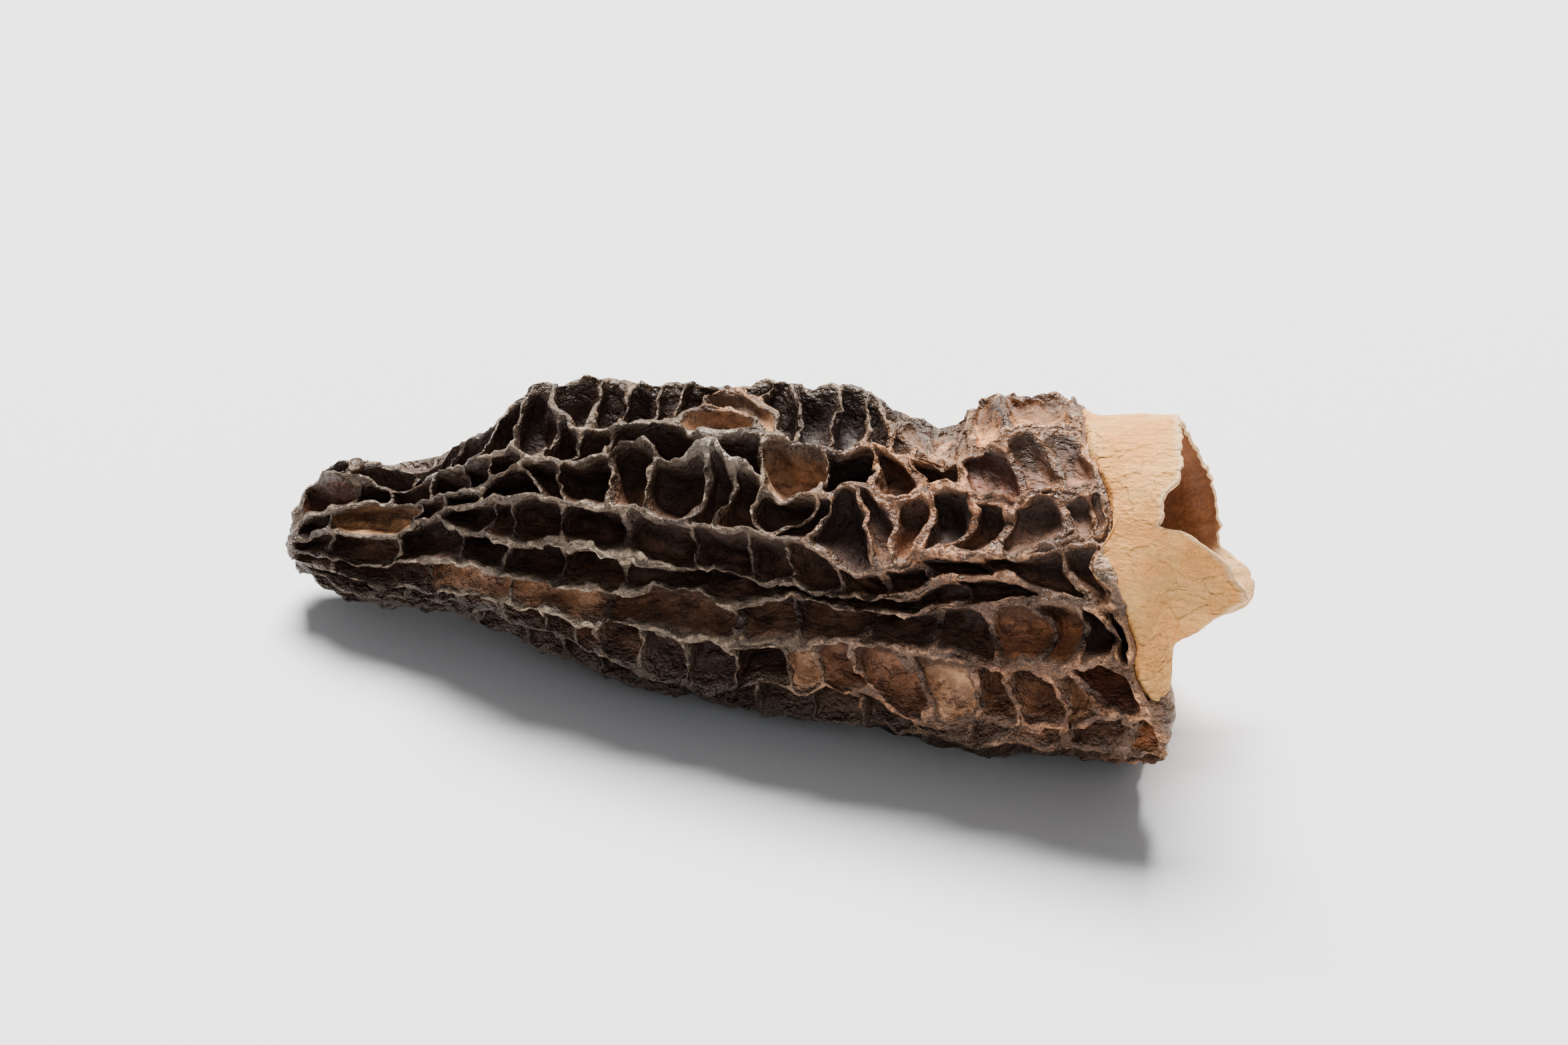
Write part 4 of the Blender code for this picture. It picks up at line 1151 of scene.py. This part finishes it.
# %% Adding nodes
def add(tree, kind, inputs=None, **settings):
    """A new node with its settings and inputs. An input that is a socket is linked, anything else is its value."""
    node = tree.nodes.new(kind)
    for name, value in settings.items():
        setattr(node, name, value)
    for name, value in (inputs or {}).items():
        if isinstance(value, bpy.types.NodeSocket):
            tree.links.new(value, node.inputs[name])
        else:
            node.inputs[name].default_value = value
    return node


def calc(tree, operation, *values):
    """The result of a Math node."""
    return add(tree, "ShaderNodeMath", dict(enumerate(values)), operation=operation).outputs[0]


def vector_calc(tree, operation, first, second):
    """The result of a Vector Math node. To scale, the second value is a number, otherwise it is a vector."""
    second_input = "Scale" if operation == "SCALE" else 1
    return add(tree, "ShaderNodeVectorMath", {0: first, second_input: second}, operation=operation).outputs[0]


def new_tree(name, kind, inputs, outputs):
    """A node tree with named inputs, each with its value, and named outputs. Returns it and its inputs' sockets."""
    tree = bpy.data.node_groups.new(name, kind)
    for input_name, socket_type, value in inputs:
        made = tree.interface.new_socket(name=input_name, in_out="INPUT", socket_type=socket_type)
        if value is not None:
            made.default_value = value
    for output_name, socket_type in outputs:
        tree.interface.new_socket(name=output_name, in_out="OUTPUT", socket_type=socket_type)
    return tree, tree.nodes.new("NodeGroupInput").outputs


# %% [markdown]
# ## Relief of dried skin
#
# Drying pulls skin into waves, crumples its edges and puckers its hollows. One Geometry Nodes tree does this for
# all three skins, each with its own sizes: it sinks the pits, subdivides the cage, and moves the surface by three
# sizes of noise. `Sway` bends whole crests, `Ragged` nibbles only what is not sunk, and `Pucker` folds the rest.
# What would reach below the ground is pressed flat on it.

# %% The dried skin tree
SKIN_INPUTS = (
    ("Geometry", "NodeSocketGeometry", None),
    ("Pit depth", "NodeSocketFloat", 1.0),
    ("Levels", "NodeSocketInt", 1),
    ("Stretch", "NodeSocketVector", (1, 1, 1)),
    ("Sway size", "NodeSocketFloat", 2.6),
    ("Sway height", "NodeSocketFloat", 0.5),
    ("Ragged size", "NodeSocketFloat", 0.7),
    ("Ragged height", "NodeSocketFloat", 0.25),
    ("Pucker size", "NodeSocketFloat", 1.1),
    ("Pucker height", "NodeSocketFloat", 0.25),
    ("Seed", "NodeSocketFloat", 0.0),
    ("Finish", "NodeSocketMaterial", None),
)
# How steeply the ragged edges end below the crests
EDGE_POWER = 3.0
# Steps between the seeds of the three sizes of noise, so that no two have the same pattern
RAGGED_SEED = 10.0
PUCKER_SEED = 20.0


def skin_tree():
    tree, given = new_tree("dried_skin", "GeometryNodeTree", SKIN_INPUTS, (("Geometry", "NodeSocketGeometry"),))
    down, sunk, free = (
        add(tree, "GeometryNodeInputNamedAttribute", {"Name": name}, data_type=kind).outputs[0]
        for name, kind in (("down", "FLOAT_VECTOR"), ("sunk", "FLOAT"), ("free", "FLOAT"))
    )
    sinking = vector_calc(tree, "SCALE", down, given["Pit depth"])
    cage_sunk = add(tree, "GeometryNodeSetPosition", {"Geometry": given["Geometry"], "Offset": sinking})
    smooth = add(tree, "GeometryNodeSubdivisionSurface", {"Mesh": cage_sunk.outputs[0], "Level": given["Levels"]})
    place = add(tree, "GeometryNodeInputPosition").outputs[0]
    in_mm = vector_calc(tree, "SCALE", place, 1 / MM)
    stretched = vector_calc(tree, "MULTIPLY", in_mm, given["Stretch"])

    def waves(name, amount, seed_step=0.0, detail=2.0):
        """Offset of one size of noise, in metres, where amount is 1. The name is that of its size and height."""
        fine = calc(tree, "DIVIDE", 1.0, given[name + " size"])
        seed = calc(tree, "ADD", given["Seed"], seed_step)
        inputs = {"Vector": stretched, "W": seed, "Scale": fine, "Detail": detail}
        colour = add(tree, "ShaderNodeTexNoise", inputs, noise_dimensions="4D").outputs["Color"]
        centred = vector_calc(tree, "SUBTRACT", colour, (0.5, 0.5, 0.5))
        metres = calc(tree, "MULTIPLY", given[name + " height"], 2 * MM)
        return vector_calc(tree, "SCALE", centred, calc(tree, "MULTIPLY", metres, amount))

    edges = calc(tree, "POWER", calc(tree, "SUBTRACT", 1.0, sunk), EDGE_POWER)
    swayed = waves("Sway", 1.0)
    nibbled = vector_calc(tree, "ADD", swayed, waves("Ragged", edges, RAGGED_SEED, detail=4.0))
    total = vector_calc(tree, "ADD", nibbled, waves("Pucker", sunk, PUCKER_SEED))
    kept = vector_calc(tree, "SCALE", total, free)
    moved = add(tree, "GeometryNodeSetPosition", {"Geometry": smooth.outputs[0], "Offset": kept}).outputs[0]
    lying = add(tree, "ShaderNodeSeparateXYZ", {0: place}).outputs
    height = calc(tree, "MAXIMUM", lying[2], 0.0)
    pressed = add(tree, "ShaderNodeCombineXYZ", {0: lying[0], 1: lying[1], 2: height}).outputs[0]
    resting = add(tree, "GeometryNodeSetPosition", {"Geometry": moved, "Position": pressed}).outputs[0]
    soft = add(tree, "GeometryNodeSetShadeSmooth", {"Geometry": resting}).outputs[0]
    real = add(tree, "GeometryNodeRealizeInstances", {"Geometry": soft}).outputs[0]
    done = add(tree, "GeometryNodeSetMaterial", {"Geometry": real, "Material": given["Finish"]}).outputs[0]
    add(tree, "NodeGroupOutput", {"Geometry": done})
    return tree


dried_skin = skin_tree()
print("the dried skin tree has", len(dried_skin.nodes), "nodes")


# %% Make the relief real
def dried(mesh, kept=1.0, **values):
    """An object of the mesh with the dried skin's relief made real, and that part of its triangles kept.

    Underscores in value names stand for spaces.
    """
    piece = bpy.data.objects.new(mesh.name, mesh)
    bpy.context.scene.collection.objects.link(piece)
    modifier = piece.modifiers.new("dried_skin", "NODES")
    modifier.node_group = dried_skin
    named = {item.name: item.identifier for item in dried_skin.interface.items_tree if item.in_out == "INPUT"}
    for name, value in values.items():
        modifier[named[name.replace("_", " ")]] = value
    if kept < 1:
        piece.modifiers.new("fewer_triangles", "DECIMATE").ratio = kept
    bpy.context.view_layer.update()
    made = bpy.data.meshes.new_from_object(piece.evaluated_get(bpy.context.evaluated_depsgraph_get()))
    piece.modifiers.clear()
    piece.data = made
    made.name = mesh.name
    made.calc_loop_triangles()
    print(made.name, len(made.loop_triangles), "triangles")
    return piece


# %% [markdown]
# ## Shared effects of the finishes
#
# Three effects are node groups that give only a value, and a material places them with its own sizes. `Grain` is
# the fine unevenness of dry tissue, at a size in millimetres and stretched along the fibres, and all three skins
# have it in several sizes. `Dust_and_glints` gives pale specks on the cap's crests, which are dust and also painted
# glints. `Wrinkles` are thin raised lines where the stem's skin folds.

# %% Grain, dust and wrinkle groups
def ranged(tree, value, low, high, bottom=0.0, top=1.0):
    """A value spread from low..high to bottom..top, smoothly."""
    inputs = {0: value, 1: low, 2: high, 3: bottom, 4: top}
    return add(tree, "ShaderNodeMapRange", inputs, interpolation_type="SMOOTHSTEP").outputs[0]


def own_noise(group, given, detail, roughness):
    """Noise in the piece's own coordinates, at the group's size in mm, and stretched if the group has a stretch."""
    place = add(group, "ShaderNodeTexCoord").outputs["Object"]
    if "Stretch" in given:
        place = vector_calc(group, "MULTIPLY", place, given["Stretch"])
    fine = calc(group, "DIVIDE", 1 / MM, given["Size"])
    inputs = {"Vector": place, "Scale": fine, "Detail": detail, "Roughness": roughness}
    return add(group, "ShaderNodeTexNoise", inputs).outputs[0]


def grain_group():
    inputs = (
        ("Size", "NodeSocketFloat", 0.3),
        ("Stretch", "NodeSocketVector", (1, 1, 1)),
        ("Detail", "NodeSocketFloat", 4.0),
        ("Low", "NodeSocketFloat", 0.3),
        ("High", "NodeSocketFloat", 0.7),
    )
    group, given = new_tree("Grain", "ShaderNodeTree", inputs, (("Value", "NodeSocketFloat"),))
    texture = own_noise(group, given, given["Detail"], 0.6)
    add(group, "NodeGroupOutput", {"Value": ranged(group, texture, given["Low"], given["High"])})
    return group


# Pale dust specks, which also stand in for painted glints on the crest tops
def dust_and_glints_group():
    inputs = (
        ("Exposed", "NodeSocketFloat", 1.0),
        ("Amount", "NodeSocketFloat", 0.5),
        ("Size", "NodeSocketFloat", 1.5),
    )
    group, given = new_tree("Dust_and_glints", "ShaderNodeTree", inputs, (("Mask", "NodeSocketFloat"),))
    specks = ranged(group, own_noise(group, given, 5.0, 0.7), 0.42, 0.62)
    lying = calc(group, "MULTIPLY", specks, given["Exposed"])
    add(group, "NodeGroupOutput", {"Mask": calc(group, "MULTIPLY", lying, given["Amount"])})
    return group


def wrinkle_group():
    """Wrinkles stand where the noise crosses its middle value."""
    inputs = (
        ("Size", "NodeSocketFloat", 0.8),
        ("Stretch", "NodeSocketVector", (1, 1, 1)),
        ("Width", "NodeSocketFloat", 0.05),
    )
    group, given = new_tree("Wrinkles", "ShaderNodeTree", inputs, (("Height", "NodeSocketFloat"),))
    off = calc(group, "SUBTRACT", own_noise(group, given, 2.0, 0.5), 0.5)
    ridge = ranged(group, calc(group, "ABSOLUTE", off), 0.0, given["Width"], 1.0, 0.0)
    add(group, "NodeGroupOutput", {"Height": ridge})
    return group


GRAIN = grain_group()
DUST_AND_GLINTS = dust_and_glints_group()
WRINKLES = wrinkle_group()
print("groups", GRAIN.name, DUST_AND_GLINTS.name, "and", WRINKLES.name)


# %% Helpers of the materials
def effect(tree, group, **values):
    """The value of a shared effect, placed with its own sizes."""
    return add(tree, "ShaderNodeGroup", values, node_tree=group).outputs[0]


def mixed(tree, amount, first, second, blend="MIX"):
    """Two colours mixed. A colour is a socket, or three numbers."""
    colours = [colour if isinstance(colour, bpy.types.NodeSocket) else (*colour, 1) for colour in (first, second)]
    inputs = {0: amount, 6: colours[0], 7: colours[1]}
    return add(tree, "ShaderNodeMix", inputs, data_type="RGBA", blend_type=blend).outputs[2]


def faded(tree, value, at_none, at_full):
    """A value that runs from 0 to 1, made to run from one number to another."""
    return ranged(tree, value, 0, 1, at_none, at_full)


def speckled(tree, colour, fine, darker, lighter):
    """A colour with the specks of fine grain, from one factor to another."""
    return mixed(tree, 1.0, colour, mixed(tree, faded(tree, fine, 0, 1), darker, lighter), "MULTIPLY")


def attribute(tree, name, output="Fac"):
    return add(tree, "ShaderNodeAttribute", attribute_name=name).outputs[output]


def new_material(name):
    material = bpy.data.materials.new(name)
    material.use_nodes = True
    return material, material.node_tree, material.node_tree.nodes["Principled BSDF"]


def dress(tree, shader, colour, roughness, specular, bumps):
    """Give a shader its colour, roughness and specular level, and its bumps one over the other.

    Each bump is a height, a strength and a depth in millimetres.
    """
    tree.links.new(colour, shader.inputs["Base Color"])
    tree.links.new(roughness, shader.inputs["Roughness"])
    shader.inputs["Specular IOR Level"].default_value = specular
    under = {}
    for height, strength, depth in bumps:
        inputs = {"Height": height, "Strength": strength, "Distance": depth * MM, **under}
        under = {"Normal": add(tree, "ShaderNodeBump", inputs).outputs[0]}
    tree.links.new(under["Normal"], shader.inputs["Normal"])


# %% [markdown]
# ## Finish of the cap
#
# The colour runs with depth: dusty grey-tan on the crest's top as a broken painted highlight, painted shade down
# the crest's sides and nearly black down the wall, and the pit's own tone on its floor, with painted light on its
# lower side and painted shade on its upper side. Grain, blotches and fine creases break up all of it, and pale dust
# specks on the crests also stand in for painted glints. Dried flesh has a low waxy gloss on its crests, and the
# floors of the pits are dull.

# %% Cap material
# Painted shade: the walls of the pits and the sides of the crests go nearly black, deeper in the pit
WALL_PAINTED_SHADE = (0.024, 0.013, 0.010)
CREST_SIDE_PAINTED_SHADE = (0.042, 0.024, 0.016)
BLOTCH_BROWN = (0.036, 0.019, 0.013)
CREASE_BROWN = (0.036, 0.017, 0.010)
# How much paler the dust specks are than the crest that they lie on. They also stand in for painted glints.
DUST_AND_GLINT_PALER = (2.1, 2.05, 2.0)


def cap_finish():
    material, tree, shader = new_material("cap_flesh")
    sunk = attribute(tree, "sunk")
    crest = attribute(tree, "crest_tone", "Color")
    floor_tone = attribute(tree, "floor_tone", "Color")
    fine = effect(tree, GRAIN, Size=0.16)
    streaks = effect(tree, GRAIN, Size=0.5, Detail=6.0, Low=0.35, High=0.65)
    blotches = effect(tree, GRAIN, Size=1.6, Low=0.38, High=0.66)
    creases = effect(tree, GRAIN, Size=0.55, Stretch=(0.6, 1, 1), Detail=3.0, Low=0.36, High=0.50)
    highlight_breaks = effect(tree, GRAIN, Size=1.2, Stretch=(0.5, 1, 1), Low=0.40, High=0.60)
    knobs = effect(tree, GRAIN, Size=0.40, Detail=2.0, Low=0.36, High=0.62)

    # Painted shade by depth, down the crests' sides and the pits' walls
    wall = mixed(tree, 0.28, floor_tone, WALL_PAINTED_SHADE)
    skin = mixed(tree, 0.64, crest, CREST_SIDE_PAINTED_SHADE)
    colour = mixed(tree, ranged(tree, sunk, 0.08, 0.30), skin, wall)
    colour = mixed(tree, ranged(tree, sunk, 0.60, 0.98), colour, floor_tone)
    colour = mixed(tree, faded(tree, blotches, 0.0, 0.52), colour, BLOTCH_BROWN)
    colour = mixed(tree, faded(tree, creases, 0.60, 0.0), colour, CREASE_BROWN)

    # Painted highlight: the crest's own tone comes back along its top, in a thin line broken into short pieces
    rim = ranged(tree, sunk, 0.01, 0.075, 1.0, 0.0)
    broken_highlight = calc(tree, "MULTIPLY", rim, ranged(tree, knobs, 0.2, 0.9, 0.25, 1.0))
    edge = calc(tree, "MULTIPLY", broken_highlight, faded(tree, highlight_breaks, 0.05, 1.0))
    colour = mixed(tree, edge, colour, crest)
    colour = speckled(tree, colour, fine, (0.82, 0.80, 0.78), (1.14, 1.12, 1.10))
    # Pale dust specks on the crest tops, which are also painted glints
    pale = mixed(tree, 1.0, crest, DUST_AND_GLINT_PALER, "MULTIPLY")
    colour = mixed(tree, effect(tree, DUST_AND_GLINTS, Exposed=edge, Amount=0.8, Size=0.35), colour, pale)

    roughness = calc(tree, "ADD", faded(tree, streaks, 0.24, 0.54), ranged(tree, sunk, 0.1, 0.6, 0.0, 0.22))
    knobbed = calc(tree, "MULTIPLY", knobs, ranged(tree, sunk, 0.1, 0.6, 1.0, 0.3))
    bumps = ((creases, 0.6, 0.16), (streaks, 0.4, 0.14), (knobbed, 0.8, 0.12), (fine, 0.3, 0.03))
    dress(tree, shader, colour, roughness, 0.45, bumps)
    return material


cap_material = cap_finish()
print(cap_material.name, "has", len(cap_material.node_tree.nodes), "nodes")

# %% [markdown]
# ## Finish of the stem and the lining
#
# The stem is the colour of cream paper, warmer in patches, with a fibrous grain along it and a few dark creases
# near the cap. Where it was torn, the fresh edge is paler. The lining is smooth and rust-brown, and painted
# shade darkens it the deeper in it goes. Only the torn lobes are so thin that they are cream on their inside too.

# %% Stem material
STEM_WARM = (0.96, 0.415, 0.110)
STEM_CREAM = (1.0, 0.57, 0.195)
FIBRE_TAN = (0.56, 0.28, 0.10)
STEM_CREASE = (0.36, 0.16, 0.06)
TORN_PALE = (1.0, 0.78, 0.50)


def stem_finish():
    material, tree, shader = new_material("stem_flesh")
    fibre = effect(tree, GRAIN, Size=0.30, Stretch=(0.3, 1, 1), Detail=5.0)
    folds = effect(tree, WRINKLES, Size=1.6, Stretch=(0.8, 1, 1), Width=0.06)
    fine = effect(tree, GRAIN, Size=0.12)
    patches = effect(tree, GRAIN, Size=2.8, Low=0.4, High=0.66)
    creases = effect(tree, GRAIN, Size=1.1, Stretch=(0.22, 1, 1), Detail=3.0, Low=0.27, High=0.36)
    colour = mixed(tree, patches, STEM_WARM, STEM_CREAM)
    colour = mixed(tree, faded(tree, fibre, 0.40, 0.0), colour, FIBRE_TAN)
    colour = mixed(tree, faded(tree, creases, 0.5, 0.0), colour, STEM_CREASE)
    colour = mixed(tree, faded(tree, attribute(tree, "torn"), 0.0, 0.45), colour, TORN_PALE)
    colour = speckled(tree, colour, fine, (0.88, 0.87, 0.85), (1.06, 1.06, 1.05))
    bumps = ((folds, 0.6, 0.16), (creases, 0.6, 0.14), (fibre, 0.9, 0.09), (fine, 0.6, 0.04))
    dress(tree, shader, colour, faded(tree, fine, 0.72, 0.92), 0.25, bumps)
    return material


stem_material = stem_finish()
print(stem_material.name, "has", len(stem_material.node_tree.nodes), "nodes")

# %% Lining material
LINING_RUST = (0.29, 0.098, 0.028)
LINING_PAINTED_SHADE = (0.10, 0.037, 0.017)
LINING_FOLD = (0.17, 0.057, 0.020)
LOBE_CREAM = (0.92, 0.52, 0.22)
# The cream of the lobes' inside comes in between these places along X
LOBE_START = 20.4 * MM
LOBE_FULL = 21.3 * MM


def lining_finish():
    material, tree, shader = new_material("lining_flesh")
    folds = effect(tree, GRAIN, Size=1.2, Stretch=(0.4, 1, 1))
    fine = effect(tree, GRAIN, Size=0.2)
    place = add(tree, "ShaderNodeTexCoord").outputs["Object"]
    along = add(tree, "ShaderNodeSeparateXYZ", {0: place}).outputs[0]
    # Painted shade: darker the deeper into the hollow
    colour = mixed(tree, ranged(tree, attribute(tree, "deep"), 0.0, 0.45), LINING_RUST, LINING_PAINTED_SHADE)
    colour = mixed(tree, faded(tree, folds, 0.5, 0.0), colour, LINING_FOLD)
    colour = mixed(tree, ranged(tree, along, LOBE_START, LOBE_FULL), colour, LOBE_CREAM)
    colour = speckled(tree, colour, fine, (0.8, 0.8, 0.8), (1.1, 1.1, 1.1))
    dress(tree, shader, colour, faded(tree, fine, 0.50, 0.70), 0.35, ((folds, 0.5, 0.12), (fine, 0.4, 0.04)))
    return material


lining_material = lining_finish()
print(lining_material.name, "has", len(lining_material.node_tree.nodes), "nodes")

# %% [markdown]
# ## The three skins
#
# Each cage now gets its relief and its finish. All three ride on the one body, and together they stand for the
# one solid. The floors of the pits need fewer triangles than the crests, so the cap gives up what its shape can
# spare.

# %% Make the pieces
KEPT_TRIANGLES = 0.57
cap = dried(
    cap_mesh, kept=KEPT_TRIANGLES, Levels=1, Pit_depth=1.1, Sway_size=2.4, Sway_height=0.5, Ragged_size=0.75,
    Ragged_height=0.6, Pucker_size=1.3, Pucker_height=0.35, Finish=cap_material,
)
stem = dried(
    stem_mesh, Levels=0, Stretch=(0.8, 1, 1), Sway_size=3.4, Sway_height=0.22, Ragged_size=0.9, Ragged_height=0.12,
    Pucker_height=0.0, Seed=3.0, Finish=stem_material,
)
hollow = dried(
    lining_mesh, Levels=0, Stretch=(0.5, 1, 1), Sway_size=3.0, Sway_height=0.3, Ragged_size=1.2, Ragged_height=0.1,
    Pucker_height=0.0, Seed=5.0, Finish=lining_material,
)
for piece in (cap, stem, hollow):
    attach(piece, "root")
    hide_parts("dried_morel")

# %% [markdown]
# ## Floor, light and camera
#
# The mushroom lies on a plain pale floor. The light is one large soft panel high behind the left side, as in a
# photo studio, with a weak fill from the front. The camera looks down at the photograph's angle through a long
# lens.

# %% Floor
FLOOR_SIZE = 3.0
FLOOR_WHITE = (0.86, 0.86, 0.87, 1)
floor_mesh = bpy.data.meshes.new("floor")
floor_bm = bmesh.new()
bmesh.ops.create_grid(floor_bm, x_segments=1, y_segments=1, size=FLOOR_SIZE / 2)
floor_bm.to_mesh(floor_mesh)
floor_bm.free()
floor_material, _, floor_shader = new_material("floor_paper")
floor_shader.inputs["Base Color"].default_value = FLOOR_WHITE
floor_shader.inputs["Roughness"].default_value = 0.6
floor_mesh.materials.append(floor_material)
floor = bpy.data.objects.new("floor", floor_mesh)
bpy.context.scene.collection.objects.link(floor)
print("floor", FLOOR_SIZE, "m wide")

# %% Camera
AZIMUTH = math.radians(18)
ELEVATION = math.radians(32)
DISTANCE = 0.65
LENS = 300
SENSOR = 36
NEAREST = 0.01
back = Vector((
    math.sin(AZIMUTH) * math.cos(ELEVATION),
    -math.cos(AZIMUTH) * math.cos(ELEVATION),
    math.sin(ELEVATION),
))
middle = (cad_box[0] + cad_box[1]) / 2
camera = bpy.data.objects.new("camera", bpy.data.cameras.new("camera"))
camera.data.lens = LENS
camera.data.sensor_width = SENSOR
camera.data.clip_start = NEAREST
camera.location = middle + back * DISTANCE
camera.rotation_euler = (-back).to_track_quat("-Z", "Y").to_euler()
bpy.context.scene.collection.objects.link(camera)
bpy.context.scene.camera = camera
print("camera at", [round(value, 3) for value in camera.location])


# %% Light
def panel(name, place, size, power, colour):
    """A soft square panel of light that faces the mushroom."""
    data = bpy.data.lights.new(name, "AREA")
    data.size = size
    data.energy = power
    data.color = colour
    light = bpy.data.objects.new(name, data)
    light.location = place
    light.rotation_euler = (middle - light.location).to_track_quat("-Z", "Y").to_euler()
    bpy.context.scene.collection.objects.link(light)


panel("key_panel", place=(-0.15, 0.38, 0.75), size=0.45, power=31.0, colour=(1.0, 0.98, 0.95))
panel("fill_panel", place=(0.5, -0.7, 0.45), size=0.6, power=1.2, colour=(0.96, 0.98, 1.0))
AIR_COLOUR = (0.93, 0.95, 1.0, 1)
AIR_STRENGTH = 0.24
world = bpy.data.worlds.new("studio_air")
world.use_nodes = True
air = world.node_tree.nodes["Background"].inputs
air["Color"].default_value = AIR_COLOUR
air["Strength"].default_value = AIR_STRENGTH
bpy.context.scene.world = world
print(len(bpy.data.lights), "panels of light")
